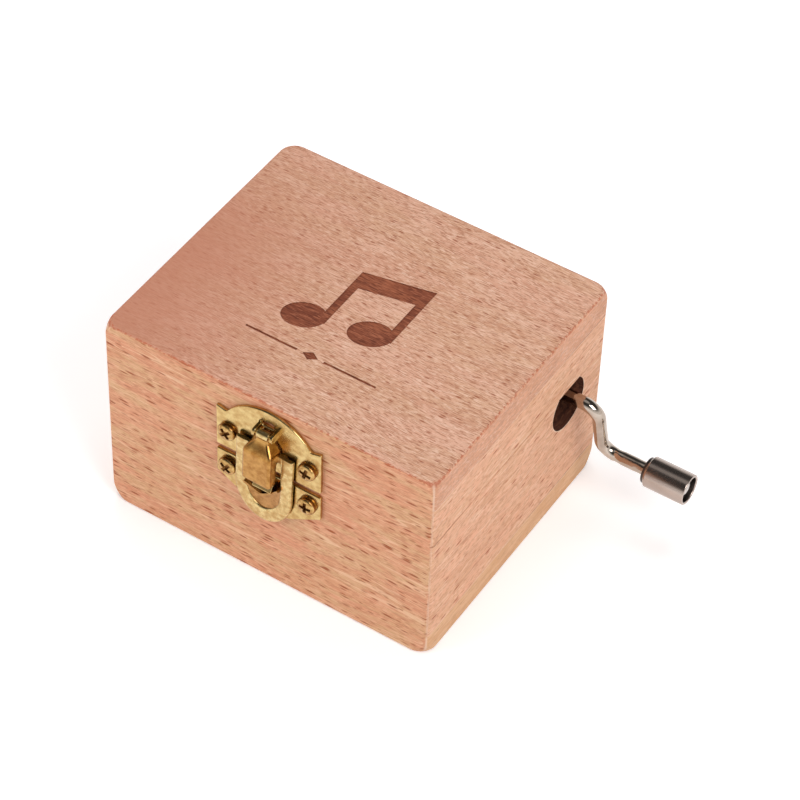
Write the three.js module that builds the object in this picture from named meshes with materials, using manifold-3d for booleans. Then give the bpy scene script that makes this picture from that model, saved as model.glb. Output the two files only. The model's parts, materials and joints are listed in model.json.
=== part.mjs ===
// Hand crank music box: a hinged wooden box with a brass latch and a cranked comb movement inside.
// Millimetres, +Z up. The origin is the centre of the underside, the front is -Y, the crank side is +X.

import * as THREE from "three";
import { mergeVertices } from "three/addons/utils/BufferGeometryUtils.js";
import Module from "manifold-3d";

const wasm = await Module();
wasm.setup();

// Box: panels and mitred walls
const boxWidth = 64;
const boxDepth = 54;
const wallThickness = 5;
const bottomThickness = 5.2;
const baseWallHeight = 22.2;
const seamGap = 0.2;
const lidWallHeight = 8.4;
const topThickness = 6;
const cornerRadius = 0.9;
const roundCornerRadius = 3;
const topEdgeRadius = 0.5;
const topCornerRadius = 3;
const topCornerDepth = 2.5;
const bottomEdgeRadius = 0.5;
const bottomCornerRadius = 3.5;
const bottomCornerDepth = 4;

// Round notch for the crank in the right wall of the base, a little off the crank's own axis
const notchRadius = 5;
const notchShift = -1;
const notchDrop = 0.8;

// Crank: one bent wire with a loose knob on its pin
const crankBackInset = 10.2;
const crankAxisZ = 24.5;
const wireRadius = 1.2;
const crankArmLength = 12.7;
const crankArmGap = 3.9;
const crankBendRadius = 2.9;
const crankRestAngle = 14.4;
const knobStandoff = 8.7;
const knobLength = 8.4;
const knobRadius = 2.8;
const knobWall = 0.5;
const knobRecess = 2.2;
const knobNeckLength = 0.7;
const knobNeckDepth = 0.45;
const pinHeadRadius = 1.75;
const pinHeadThickness = 0.5;
const pinEndReach = 0.4;

// Clearances
const runningClearance = 0.2;
const fixedClearance = 0.15;
const bodyGap = 0.3;
const screwClearance = 0.2;
const overrun = 1;
const weld = 0.0001;

// Facets of round forms, as counts of sides
const fineSides = 36;
const roundSides = 18;
const smallSides = 12;
const screwSides = 9;
const holeSides = 10;
const drumSides = 40;
const knobSides = 32;
const needleSides = 5;
const panelCornerSteps = 4;
const wallCornerSteps = 3;
const rimSteps = 3;
const cornerEaseSteps = 4;
const archSegments = 20;
const rimSegments = 12;
const crownSegments = 8;
const earSegments = 6;
const edgeSegments = 2;
const bedCornerSegments = 4;
const wireSegments = 7;
const wireSteps = 30;
const webSteps = 8;
const wormStepsPerTurn = 12;

// Worm and wheel
const gearModule = 0.6;
const wheelTeeth = 20;
const wormPitchRadius = 2.5;
const wormTipHeight = 0.55;
const wormRootDepth = 0.7;
const wheelTipHeight = 0.4;
const wheelRootDepth = 0.9;
const wormThreadLength = 10;
const wormCollarLength = 2.1;
const wormCollarRadius = 2;
const toothTipShare = 0.16;
const toothRootShare = 0.4;
const wheelWidth = 3;
const wheelWebDepth = 0.6;
const wheelHubRadius = 2.6;
const wheelRimWidth = 1.1;

// Pinned cylinder, its arbor and posts
const cylinderSideInset = 25;
const drumRadius = 6.5;
const noteCount = 18;
const notePitch = 1;
const drumEndMargin = 0.75;
const drumLipWidth = 0.5;
const drumLipHeight = 0.25;
const pinLength = 0.9;
const pinRadius = 0.2;
const pinRoot = 0.4;
const beatCount = 36;
const leadStride = 7;
const phraseBeats = 4;
const phraseShift = 2;
const chordStep = 4;
const chordSpread = 3;
const bassStride = 5;
const bassNotes = 6;
const bassBeats = 3;
const pinTipShare = 0.8;
const arborRadius = 1;
const arborEnd = 0.5;
const wheelToDrum = 1.2;
const postThickness = 1.6;
const postHalfWidth = 5;
const postCrown = 3.2;
const postGap = 0.6;
const footThickness = 1.2;
const footLength = 4.2;
const backFootHalfWidth = 7.2;
const backFootScrewReach = 5.8;
const frontFootScrewReach = 3.1;

// Comb and its block
const combTipGap = 0.3;
const combThickness = 0.8;
const toothThickness = 0.5;
const toothWidth = 0.7;
const toothTipWidth = 0.36;
const toothTipTaper = 1.6;
const combStep = 1;
const shortToothShare = 0.566;
const combSideGap = 4;
const combBlockWidth = 6.8;
const combScrewInset = 3.4;
const combScrewSpacing = 9;
const combBlockEdge = 0.4;

// Bedplate and crank brackets
const bedThickness = 2.4;
const bedMargin = 0.8;
const bedCornerRadius = 2.5;
const bracketReach = 7.6;
const bracketThickness = 1.6;
const bracketHalfWidth = 3.2;
const bracketCrown = 2.8;
const bracketFootLength = 4.2;
const bracketFootShift = 0.5;

// Screws: head radius, head height, shank radius, shank length
const latchScrew = { head: 1.7, rise: 1.1, shank: 0.85, length: 4.4 };
const hingeScrew = { head: 1.1, rise: 0.5, shank: 0.55, length: 3.8 };
const footScrew = { head: 1.1, rise: 0.8, shank: 0.6, length: 2.9 };
const combScrew = { head: 1.9, rise: 1.2, shank: 0.95, length: 10.2 };
const bedScrew = { head: 2.2, rise: 1.3, shank: 1.1, length: 6.2 };
const bedScrewRecess = 2.2;
const screwCrownShare = 0.72;

// Latch: heights are above the seam line, reaches are out from the front of the box
const latchShift = 1.07;
const plateHalfWidth = 10.2;
const plateThickness = 0.8;
const upperPlateLift = 0.7;
const hornHeight = 9.7;
const hornDip = 0.45;
const archHalfWidth = 8.1;
const archApex = 13.6;
const lowerPlateDrop = 0.4;
const lowerPlateSide = 5.6;
const lowerPlateSlopeEnd = 9.2;
const lowerPlateSlopeHalf = 4.2;
const lowerPlateDepth = 10.4;
const latchScrewInset = 2.4;
const upperScrewHeight = 5;
const lowerScrewDrop = 3.1;
const slotHalfWidth = 1.15;
const slotHeight = 1;
const slotAbovePivot = 0.7;
const pivotHeight = 9.6;
const pivotReach = 1.9;
const hingePinRadius = 0.4;
const barrelRadius = 0.8;
const neckHalfWidth = 1.1;
const earThickness = 0.6;
const rimScrewGap = 0.55;
const rimBandShare = 0.42;
const rimFootDepth = 7.4;
const rimFootBand = 3;
const rimThickness = 0.7;
const rimShoulderDrop = 3.7;
const rimBendDrop = 4;
const webThickness = 0.6;
const webDip = 5.2;
const webRise = 3.2;
const hoodSideGap = 0.45;
const hoodReach = 4.1;
const hoodLipDrop = 0.1;
const hoodSkirtDepth = 1.9;
const hoodSkirtDrop = 5.4;
const hoodFlareDrop = 4.4;
const hoodBreakDrop = 1.8;
const hoodShoulderDrop = 3;
const hoodBreakWidthShare = 0.88;
const hoodBreakReachShare = 0.86;
const neckReachShare = 0.73;
const hoodSheet = 0.6;
const hoodChamfer = 0.35;
const bridgeHeight = 1.4;
const tongueLean = 2;
const catchSideGap = 0.35;
const catchReach = 2.9;
const catchTopDrop = 0.8;
const catchBottomDrop = 3.2;
const catchLip = 0.7;

// Butt hinges at the back
const hingeEndInset = 15;
const hingeHalfWidth = 5.5;
const leafHeight = 7.6;
const leafThickness = 0.6;
const knuckleRadius = 1.2;
const hingeBoreRadius = 0.6;
const knuckleHalf = 2;
const hingeScrewHalfSpacing = 3;
const hingeScrewHeight = 4.9;

// Finishes
const finishes = {
  beechTop: { color: 0xd8a183, roughness: 0.62, metalness: 0 },
  beechWall: { color: 0xdba277, roughness: 0.62, metalness: 0 },
  brass: { color: 0xc9a24a, roughness: 0.3, metalness: 1 },
  steel: { color: 0xb9b4ad, roughness: 0.28, metalness: 1 },
  zinc: { color: 0x9c9ea2, roughness: 0.4, metalness: 1 },
  darkSteel: { color: 0x77787c, roughness: 0.35, metalness: 1 },
};

// Levels and places that follow from the sizes
const seamZ = bottomThickness + baseWallHeight;
const lidBottomZ = seamZ + seamGap;
const topPanelZ = lidBottomZ + lidWallHeight;
const frontY = -boxDepth / 2;
const backY = boxDepth / 2;
const bedTopZ = bottomThickness + bedThickness;
const crankAxisY = backY - crankBackInset;
const cylinderAxisX = boxWidth / 2 - cylinderSideInset;
const wheelPitchRadius = gearModule * wheelTeeth / 2;
const wormLead = gearModule * Math.PI;
const cylinderAxisZ = crankAxisZ - wormPitchRadius - wheelPitchRadius;
const wheelBackY = crankAxisY + wheelWidth / 2;
const wheelFrontY = crankAxisY - wheelWidth / 2;
const drumBackY = wheelFrontY - wheelToDrum;
const drumLength = noteCount * notePitch + 2 * drumEndMargin;
const drumFrontY = drumBackY - drumLength;
const firstNoteY = drumFrontY + drumEndMargin + notePitch / 2;
const combTipX = cylinderAxisX - drumRadius - pinLength - combTipGap;
const combBackX = -boxWidth / 2 + wallThickness + combSideGap;
const longToothLength = combTipX - combBackX - combBlockWidth - combStep;
const shortToothLength = shortToothShare * longToothLength;
const combFrontY = drumFrontY + drumEndMargin;
const combWidth = noteCount * notePitch;
const combBottomZ = cylinderAxisZ - combThickness / 2;
const frontPostY = drumFrontY - postGap - postThickness;
const backPostY = wheelBackY + postGap;
const bracketX = bracketReach + bracketThickness;
const latchScrewX = plateHalfWidth - latchScrewInset;
const rimHalfWidth = latchScrewX - latchScrew.head - rimScrewGap;
const rimBand = rimBandShare * rimHalfWidth;
const rimShoulder = pivotHeight - rimShoulderDrop;
const hoodHalfWidth = rimHalfWidth - rimBand - hoodSideGap;
const catchHalfWidth = hoodHalfWidth - hoodSheet - catchSideGap;
const hingeCentre = boxWidth / 2 - hingeEndInset;

// Turns that take a shape drawn in XY and extruded along +Z to another axis
const axisX = new THREE.Vector3(1, 0, 0);
const axisY = new THREE.Vector3(0, 1, 0);
const axisZ = new THREE.Vector3(0, 0, 1);
const toX = new THREE.Matrix4().makeBasis(axisY, axisZ, axisX);
const toY = new THREE.Matrix4().makeBasis(axisZ, axisX, axisY);
const toFront = new THREE.Matrix4().makeBasis(axisX, axisZ, axisY.clone().negate());
const toBack = new THREE.Matrix4().makeBasis(axisX.clone().negate(), axisZ, axisY);
const toDown = new THREE.Matrix4().makeBasis(axisX, axisY.clone().negate(), axisZ.clone().negate());

const object = new THREE.Group();

function addPart(name, geometry, finish) {
  const mesh = new THREE.Mesh(geometry, new THREE.MeshStandardMaterial(finishes[finish]));
  mesh.name = name;
  object.add(mesh);
}

function place(geometry, turn, x, y, z) {
  if (turn) {
    geometry.applyMatrix4(turn);
  }
  return geometry.translate(x, y, z);
}

// Solids for joins and cuts
function toSolid(geometry) {
  const bare = geometry.clone();
  bare.deleteAttribute("normal");
  bare.deleteAttribute("uv");
  const merged = mergeVertices(bare, weld);
  return new wasm.Manifold(new wasm.Mesh({
    numProp: 3,
    vertProperties: new Float32Array(merged.attributes.position.array),
    triVerts: new Uint32Array(merged.index.array),
  }));
}

function toGeometry(solid) {
  const { vertProperties, triVerts } = solid.getMesh();
  const geometry = new THREE.BufferGeometry();
  geometry.setAttribute("position", new THREE.BufferAttribute(vertProperties, 3));
  geometry.setIndex(new THREE.BufferAttribute(triVerts, 1));
  geometry.computeVertexNormals();
  return geometry;
}

function join(first, ...others) {
  return toGeometry(others.reduce((solid, other) => solid.add(toSolid(other)), toSolid(first)));
}

function cut(first, ...others) {
  return toGeometry(others.reduce((solid, other) => solid.subtract(toSolid(other)), toSolid(first)));
}

// A rod along +Z from the origin
function rod(radius, length, sides = roundSides) {
  const geometry = new THREE.CylinderGeometry(radius, radius, length, sides);
  return geometry.rotateX(Math.PI / 2).translate(0, 0, length / 2);
}

// A block from its lowest corner
function block(width, depth, height, x, y, z) {
  const geometry = new THREE.BoxGeometry(width, depth, height);
  return geometry.translate(x + width / 2, y + depth / 2, z + height / 2);
}

function extrude(shape, depth, curveSegments = crownSegments, steps = 1) {
  return new THREE.ExtrudeGeometry(shape, { depth, steps, curveSegments, bevelEnabled: false });
}

// A turned body about +Z from [radius, height] pairs
function turned(profile, sides = smallSides) {
  const points = profile.map(([radius, height]) => new THREE.Vector2(radius, height));
  return new THREE.LatheGeometry(points, sides).rotateX(Math.PI / 2);
}

function polygon(points) {
  return new THREE.Shape(points.map(([x, y]) => new THREE.Vector2(x, y)));
}

// A closed body through convex rings of points that run anticlockwise about its direction
function loft(rings) {
  const count = rings[0].length;
  const last = (rings.length - 1) * count;
  const index = [];
  for (let start = 0; start < last; start += count) {
    for (let side = 0; side < count; side += 1) {
      const next = (side + 1) % count;
      index.push(start + side, start + next, start + count + next);
      index.push(start + side, start + count + next, start + count + side);
    }
  }
  for (let side = 1; side < count - 1; side += 1) {
    index.push(0, side + 1, side);
    index.push(last, last + side, last + side + 1);
  }
  const geometry = new THREE.BufferGeometry();
  geometry.setAttribute("position", new THREE.Float32BufferAttribute(rings.flat(2), 3));
  geometry.setIndex(index);
  geometry.computeVertexNormals();
  return geometry;
}

// Box
// The four corners in the order front left, front right, back right, back left, the last one rounder
function arcAboutCorner(corner, fromAngle, toAngle, inset = 0, steps = wallCornerSteps, least = 0) {
  const signX = corner === 1 || corner === 2 ? 1 : -1;
  const signY = corner >= 2 ? 1 : -1;
  const radius = Math.max(corner === 3 ? roundCornerRadius : cornerRadius, least);
  const points = [];
  for (let step = 0; step <= steps; step += 1) {
    const angle = THREE.MathUtils.degToRad(fromAngle + (toAngle - fromAngle) * step / steps);
    points.push([
      signX * (boxWidth / 2 - radius) + (radius - inset) * Math.cos(angle),
      signY * (boxDepth / 2 - radius) + (radius - inset) * Math.sin(angle),
    ]);
  }
  return points;
}

function panelRing(inset, z, least) {
  const points = [0, 1, 2, 3].flatMap((corner) => (
    arcAboutCorner(corner, 180 + 90 * corner, 270 + 90 * corner, inset, panelCornerSteps, least)
  ));
  return points.map(([x, y]) => [x, y, z]);
}

// A panel with one rounded rim: the rim is at its top when side is 1 and at its foot when side is -1.
// Its corners are sanded rounder and rounder over the last stretch before the rim.
function panel({ z, thickness, edge, corner, depth, side }) {
  const plain = side > 0 ? z : z + thickness;
  const rim = side > 0 ? z + thickness : z;
  const rings = [panelRing(0, plain, cornerRadius)];
  const addRing = (inset, below) => {
    const near = Math.max(1 - below / depth, 0);
    rings.push(panelRing(inset, rim - side * below, cornerRadius + (corner - cornerRadius) * near ** 2));
  };
  for (let step = 0; step < cornerEaseSteps; step += 1) {
    addRing(0, depth + (edge - depth) * step / cornerEaseSteps);
  }
  for (let step = 0; step <= rimSteps; step += 1) {
    const angle = Math.PI / 2 * step / rimSteps;
    addRing(edge * (1 - Math.cos(angle)), edge * (1 - Math.sin(angle)));
  }
  return loft(side > 0 ? rings : rings.reverse());
}

// One mitred wall, side 0 to 3 from the front on, its outer corners rounded up to the mitre
function wall(side, z, height) {
  const next = (side + 1) % 4;
  const outer = [
    ...arcAboutCorner(side, 225 + 90 * side, 270 + 90 * side),
    ...arcAboutCorner(next, 270 + 90 * side, 315 + 90 * side),
  ];
  const inner = [next, side].map((corner) => [
    (corner === 1 || corner === 2 ? 1 : -1) * (boxWidth / 2 - wallThickness),
    (corner >= 2 ? 1 : -1) * (boxDepth / 2 - wallThickness),
  ]);
  return extrude(polygon([...outer, ...inner]), height).translate(0, 0, z);
}

function crankNotch() {
  const width = wallThickness + 2 * overrun;
  const centreZ = crankAxisZ - notchDrop;
  return place(rod(notchRadius, width, fineSides), toX,
    boxWidth / 2 - wallThickness - overrun, crankAxisY + notchShift, centreZ);
}

// Screws
function screw({ head, rise, shank, length }) {
  return turned([
    [0, -length],
    [shank, -length + shank],
    [shank, 0],
    [head, 0],
    [head, rise / 2],
    [head * screwCrownShare, rise],
    [0, rise],
  ], screwSides);
}

function screwHole({ shank, length }, depth = length) {
  return rod(shank + screwClearance, depth + overrun + screwClearance, holeSides)
    .translate(0, 0, -depth - screwClearance);
}

// Latch
const latchX = latchShift;

function onFront(geometry, reach = 0, height = 0) {
  return place(geometry, toFront, latchX, frontY - reach, seamZ + height);
}

function latchScrewSpots() {
  return [-1, 1].flatMap((side) => [
    { level: "upper", side, x: side * latchScrewX, z: upperScrewHeight },
    { level: "lower", side, x: side * latchScrewX, z: -lowerScrewDrop },
  ]);
}

function latchScrewHoles(level) {
  return latchScrewSpots().filter((spot) => spot.level === level).map((spot) => (
    onFront(screwHole(latchScrew).translate(spot.x, spot.z, plateThickness))
  ));
}

function upperPlate() {
  const rise = archApex - hornHeight + hornDip;
  const radius = (archHalfWidth * archHalfWidth + rise * rise) / (2 * rise);
  const half = Math.asin(archHalfWidth / radius);
  const shape = new THREE.Shape();
  shape.moveTo(-plateHalfWidth, upperPlateLift);
  shape.lineTo(plateHalfWidth, upperPlateLift);
  shape.lineTo(plateHalfWidth, hornHeight);
  shape.lineTo(archHalfWidth + hornDip, hornHeight - hornDip);
  shape.absarc(0, archApex - radius, radius, Math.PI / 2 - half, Math.PI / 2 + half, false);
  shape.lineTo(-archHalfWidth - hornDip, hornHeight - hornDip);
  shape.lineTo(-plateHalfWidth, hornHeight);
  const plate = onFront(extrude(shape, plateThickness, archSegments));
  const slot = onFront(block(2 * slotHalfWidth, slotHeight, plateThickness + 2 * overrun,
    -slotHalfWidth, pivotHeight + slotAbovePivot, -overrun));
  return cut(join(plate, ...[-1, 1].map(hingeEar)), slot, tonguePinBore(), ...latchScrewHoles("upper"));
}

// A round ear that carries the tongue's pin, drawn in the plane across the box and extruded along X
function hingeEar(side) {
  const shape = new THREE.Shape();
  shape.moveTo(plateThickness / 2, -barrelRadius);
  shape.lineTo(pivotReach, -barrelRadius);
  shape.absarc(pivotReach, 0, barrelRadius, -Math.PI / 2, Math.PI / 2, false);
  shape.lineTo(plateThickness / 2, barrelRadius);
  const inner = neckHalfWidth + bodyGap;
  const x = side > 0 ? inner : -inner - earThickness;
  return acrossLatch(extrude(shape, earThickness, earSegments), x).translate(0, 0, pivotHeight);
}

// Takes a profile of [reach, height] extruded along +Z to one that is extruded along X
function acrossLatch(geometry, x) {
  const turn = new THREE.Matrix4().makeBasis(axisY.clone().negate(), axisZ, axisX.clone().negate());
  geometry.applyMatrix4(turn);
  geometry.computeBoundingBox();
  return geometry.translate(latchX + x - geometry.boundingBox.min.x, frontY, seamZ);
}

function tonguePinBore() {
  const half = neckHalfWidth + bodyGap + earThickness + overrun;
  return place(rod(hingePinRadius + fixedClearance, 2 * half, smallSides), toX,
    latchX - half, frontY - pivotReach, seamZ + pivotHeight);
}

function tonguePin() {
  const half = neckHalfWidth + bodyGap + earThickness;
  return place(rod(hingePinRadius, 2 * half, smallSides), toX,
    latchX - half, frontY - pivotReach, seamZ + pivotHeight);
}

function lowerPlate() {
  const shape = polygon([
    [-plateHalfWidth, -lowerPlateDrop],
    [-plateHalfWidth, -lowerPlateSide],
    [-lowerPlateSlopeHalf, -lowerPlateSlopeEnd],
    [0, -lowerPlateDepth],
    [lowerPlateSlopeHalf, -lowerPlateSlopeEnd],
    [plateHalfWidth, -lowerPlateSide],
    [plateHalfWidth, -lowerPlateDrop],
  ]);
  const plate = onFront(extrude(shape, plateThickness));
  return cut(join(plate, latchCatch()), ...latchScrewHoles("lower"));
}

// The catch that the tongue snaps over: a wedge with a level underside
function latchCatch() {
  const shape = polygon([
    [plateThickness / 2, -catchBottomDrop],
    [catchReach - catchLip, -catchBottomDrop],
    [catchReach, -catchBottomDrop + catchLip],
    [plateThickness + catchLip, -catchTopDrop],
    [plateThickness / 2, -catchTopDrop],
  ]);
  return acrossLatch(extrude(shape, 2 * catchHalfWidth), -catchHalfWidth);
}

// The rim: a loop with an oval foot and an oval window
function rimShape() {
  const inner = rimHalfWidth - rimBand;
  const shape = new THREE.Shape();
  shape.moveTo(-rimHalfWidth, rimShoulder);
  shape.lineTo(-rimHalfWidth, -rimBendDrop);
  shape.absellipse(0, -rimBendDrop, rimHalfWidth, rimFootDepth, Math.PI, 2 * Math.PI, false);
  shape.lineTo(rimHalfWidth, rimShoulder);
  shape.lineTo(inner, rimShoulder);
  shape.absellipse(0, -rimBendDrop, inner, rimFootDepth - rimFootBand, 0, -Math.PI, true);
  shape.lineTo(-inner, rimShoulder);
  return shape;
}

// The dished web that closes the foot of the rim, up to a hollow upper edge
function webShape() {
  const inner = rimHalfWidth - rimBand + bodyGap;
  const depth = rimFootDepth - rimFootBand + bodyGap;
  const shape = new THREE.Shape();
  shape.moveTo(inner, -rimBendDrop);
  for (let step = 0; step <= webSteps; step += 1) {
    const share = 1 - 2 * step / webSteps;
    shape.lineTo(inner * share, -webDip + webRise * share * share);
  }
  shape.absellipse(0, -rimBendDrop, inner, depth, Math.PI, 2 * Math.PI, false);
  return shape;
}

function hoodRing(halfWidth, back, reach, z) {
  const near = frontY - back;
  const far = frontY - reach;
  const chamfer = Math.min(hoodChamfer, (reach - back) / 2);
  return [
    [latchX - halfWidth, far + chamfer, z],
    [latchX - halfWidth + chamfer, far, z],
    [latchX + halfWidth - chamfer, far, z],
    [latchX + halfWidth, far + chamfer, z],
    [latchX + halfWidth, near, z],
    [latchX - halfWidth, near, z],
  ];
}

// The hood: a narrow neck that widens into an open channel, deep at its flare and shallow at its free skirt
function hood() {
  const back = plateThickness + bodyGap;
  const pivotZ = seamZ + pivotHeight;
  const neckReach = pivotReach + barrelRadius;
  const skirtBack = hoodReach - hoodSkirtDepth;
  const lip = seamZ - hoodLipDrop;
  const skirt = pivotZ - hoodSkirtDrop;
  const flare = pivotZ - hoodFlareDrop;
  const shoulder = pivotZ - hoodShoulderDrop;
  const breakZ = pivotZ - hoodBreakDrop;
  const breakHalf = hoodBreakWidthShare * hoodHalfWidth;
  const breakReach = hoodBreakReachShare * hoodReach;
  const outer = loft([
    hoodRing(hoodHalfWidth, skirtBack, hoodReach, lip),
    hoodRing(hoodHalfWidth, skirtBack, hoodReach, skirt),
    hoodRing(hoodHalfWidth, back, hoodReach, flare),
    hoodRing(hoodHalfWidth, back, hoodReach, shoulder),
    hoodRing(breakHalf, back, breakReach, breakZ),
    hoodRing(neckHalfWidth, back, neckReachShare * hoodReach, pivotZ - barrelRadius - bodyGap),
    hoodRing(neckHalfWidth, back + barrelRadius / 2, neckReach, pivotZ + barrelRadius / 2),
  ]);
  const inner = loft([
    hoodRing(hoodHalfWidth - hoodSheet, -overrun, hoodReach - hoodSheet, lip - overrun),
    hoodRing(hoodHalfWidth - hoodSheet, -overrun, hoodReach - hoodSheet, shoulder),
    hoodRing(breakHalf - hoodSheet, -overrun, breakReach - hoodSheet, breakZ - hoodSheet / 2),
    hoodRing(neckHalfWidth - hoodSheet, -overrun, neckReach - hoodSheet, pivotZ - barrelRadius - hoodSheet),
  ]);
  return cut(outer, inner);
}

// The tongue hangs a little askew on its pin, as its play lets it
function leaning(geometry) {
  const pivotZ = seamZ + pivotHeight;
  geometry.translate(-latchX, 0, -pivotZ);
  geometry.rotateY(THREE.MathUtils.degToRad(tongueLean));
  return geometry.translate(latchX, 0, pivotZ);
}

function tongue() {
  const reach = plateThickness + bodyGap;
  const rim = onFront(extrude(rimShape(), rimThickness, rimSegments), reach);
  const web = onFront(extrude(webShape(), webThickness, rimSegments), reach);
  const inner = rimHalfWidth - rimBand;
  const bridge = [-1, 1].map((side) => {
    const width = inner - hoodHalfWidth + hoodSheet;
    const x = side > 0 ? hoodHalfWidth - hoodSheet / 2 : -hoodHalfWidth + hoodSheet / 2 - width;
    const bar = block(width, bridgeHeight, rimThickness, x, rimShoulder - bridgeHeight, 0);
    return onFront(bar, reach);
  });
  const barrel = place(rod(barrelRadius, 2 * neckHalfWidth), toX,
    latchX - neckHalfWidth, frontY - pivotReach, seamZ + pivotHeight);
  return cut(leaning(join(rim, web, ...bridge, hood(), barrel)), tonguePinBore());
}

// Hinges
const hingeAxisY = backY + knuckleRadius + fixedClearance;
const hingeXs = [-hingeCentre, hingeCentre];

function hingeLeaf(x, side) {
  const gap = side > 0 ? lidBottomZ : seamZ;
  const low = side > 0 ? gap + bodyGap : gap - bodyGap - leafHeight;
  const plate = block(2 * hingeHalfWidth, leafThickness, leafHeight, x - hingeHalfWidth, backY, low);
  const tab = block(2 * hingeHalfWidth, knuckleRadius, knuckleRadius, x - hingeHalfWidth,
    backY, side > 0 ? hingeAxisZ() : hingeAxisZ() - knuckleRadius);
  const barrel = place(rod(knuckleRadius, 2 * hingeHalfWidth), toX,
    x - hingeHalfWidth, hingeAxisY, hingeAxisZ());
  const reach = knuckleRadius + bodyGap;
  const clear = (from, to) => (
    block(to - from, 2 * reach, 2 * reach, from, hingeAxisY - reach, hingeAxisZ() - reach)
  );
  const otherKnuckles = side > 0 ? [
    clear(x - knuckleHalf - bodyGap, x + knuckleHalf + bodyGap),
  ] : [
    clear(x - hingeHalfWidth - overrun, x - knuckleHalf),
    clear(x + knuckleHalf, x + hingeHalfWidth + overrun),
  ];
  const bore = place(rod(hingeBoreRadius + fixedClearance, 2 * (hingeHalfWidth + overrun), smallSides), toX,
    x - hingeHalfWidth - overrun, hingeAxisY, hingeAxisZ());
  return cut(join(plate, tab, barrel), bore, ...otherKnuckles, ...hingeScrewHoles(side));
}

function hingeAxisZ() {
  return seamZ + seamGap / 2;
}

function hingeScrewXs(x) {
  return [x - hingeScrewHalfSpacing, x + hingeScrewHalfSpacing];
}

function hingeScrewAt(geometry, x, side) {
  return place(geometry, toBack, x, backY + leafThickness, hingeAxisZ() + side * hingeScrewHeight);
}

function hingeScrewHoles(side) {
  return hingeXs.flatMap(hingeScrewXs).map((spot) => hingeScrewAt(screwHole(hingeScrew), spot, side));
}

function hingePin(x) {
  return place(rod(hingeBoreRadius, 2 * hingeHalfWidth, smallSides), toX,
    x - hingeHalfWidth, hingeAxisY, hingeAxisZ());
}

// Movement
// The bedplate's outline reaches under every foot
const bedFrontY = frontPostY - footLength - bedMargin;
const bedBackY = backPostY + postThickness + bedMargin / 2;
const bedLeftX = combBackX - bedMargin;
const bedRightX = cylinderAxisX + bracketX + bracketFootLength + bedMargin;

function roundedBox(left, right, low, high, radius) {
  const shape = new THREE.Shape();
  shape.absarc(left + radius, low + radius, radius, Math.PI, 1.5 * Math.PI, false);
  shape.absarc(right - radius, low + radius, radius, 1.5 * Math.PI, 2 * Math.PI, false);
  shape.absarc(right - radius, high - radius, radius, 0, Math.PI / 2, false);
  shape.absarc(left + radius, high - radius, radius, Math.PI / 2, Math.PI, false);
  return shape;
}

function bedScrewSpots() {
  const inset = bedMargin + bedScrew.head;
  return [
    [bedLeftX + inset, bedFrontY + inset],
    [bedRightX - inset, bedFrontY + inset],
    [bedLeftX + inset, bedBackY - inset],
  ];
}

function bedScrewAt(geometry, [x, y]) {
  return place(geometry, toDown, x, y, bedScrewRecess);
}

function footScrewSpots() {
  const bracketFootX = bracketX + bracketFootLength / 2;
  return [
    [cylinderAxisX - frontFootScrewReach, frontPostY - footLength / 2],
    [cylinderAxisX + frontFootScrewReach, frontPostY - footLength / 2],
    [cylinderAxisX - backFootScrewReach, backPostY - footLength / 2],
    [cylinderAxisX + backFootScrewReach, backPostY - footLength / 2],
    [cylinderAxisX - bracketFootX, crankAxisY + bracketFootShift],
    [cylinderAxisX + bracketFootX, crankAxisY + bracketFootShift],
  ];
}

function footScrewAt(geometry, [x, y]) {
  return place(geometry, null, x, y, bedTopZ + footThickness);
}

function footScrewHoles() {
  return footScrewSpots().map((spot) => footScrewAt(screwHole(footScrew), spot));
}

function combScrewSpots() {
  const middle = combFrontY + combWidth / 2;
  const x = combBackX + combScrewInset;
  return [[x, middle - combScrewSpacing / 2], [x, middle + combScrewSpacing / 2]];
}

function combScrewAt(geometry, [x, y]) {
  return place(geometry, null, x, y, combBottomZ + combThickness);
}

function combScrewHoles() {
  return combScrewSpots().map((spot) => combScrewAt(screwHole(combScrew), spot));
}

function bedplate() {
  const shape = roundedBox(bedLeftX, bedRightX, bedFrontY, bedBackY, bedCornerRadius);
  const plate = extrude(shape, bedThickness, bedCornerSegments).translate(0, 0, bottomThickness);
  return cut(plate,
    ...footScrewHoles(),
    ...combScrewHoles(),
    ...bedScrewSpots().map((spot) => bedScrewAt(screwHole(bedScrew), spot)));
}

function combBlock() {
  const shape = roundedBox(combBackX, combBackX + combBlockWidth,
    combFrontY, combFrontY + combWidth, combBlockEdge);
  const body = extrude(shape, combBottomZ - bedTopZ, edgeSegments).translate(0, 0, bedTopZ);
  return cut(body, ...combScrewHoles());
}

// The comb: graduated teeth, each with a tapered tip, cut from one plate
function comb() {
  const points = [[combBackX, combFrontY]];
  for (let note = 0; note < noteCount; note += 1) {
    const share = note / (noteCount - 1);
    const length = THREE.MathUtils.lerp(longToothLength, shortToothLength, share);
    const rootX = combTipX - length;
    const middleY = firstNoteY + note * notePitch;
    if (note > 0) {
      points.push([rootX, middleY - toothWidth / 2]);
    } else {
      points.push([rootX, combFrontY], [rootX, middleY - toothWidth / 2]);
    }
    points.push([combTipX - toothTipTaper, middleY - toothWidth / 2]);
    points.push([combTipX, middleY - toothTipWidth / 2]);
    points.push([combTipX, middleY + toothTipWidth / 2]);
    points.push([combTipX - toothTipTaper, middleY + toothWidth / 2]);
    points.push([rootX, middleY + toothWidth / 2]);
  }
  const endX = combTipX - shortToothLength;
  points.push([endX, combFrontY + combWidth], [combBackX, combFrontY + combWidth]);
  const plate = extrude(polygon(points), toothThickness).translate(0, 0, combBottomZ);
  const bar = block(combBlockWidth, combWidth, combThickness, combBackX, combFrontY, combBottomZ);
  return cut(join(plate, bar), ...combScrewHoles());
}

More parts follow.
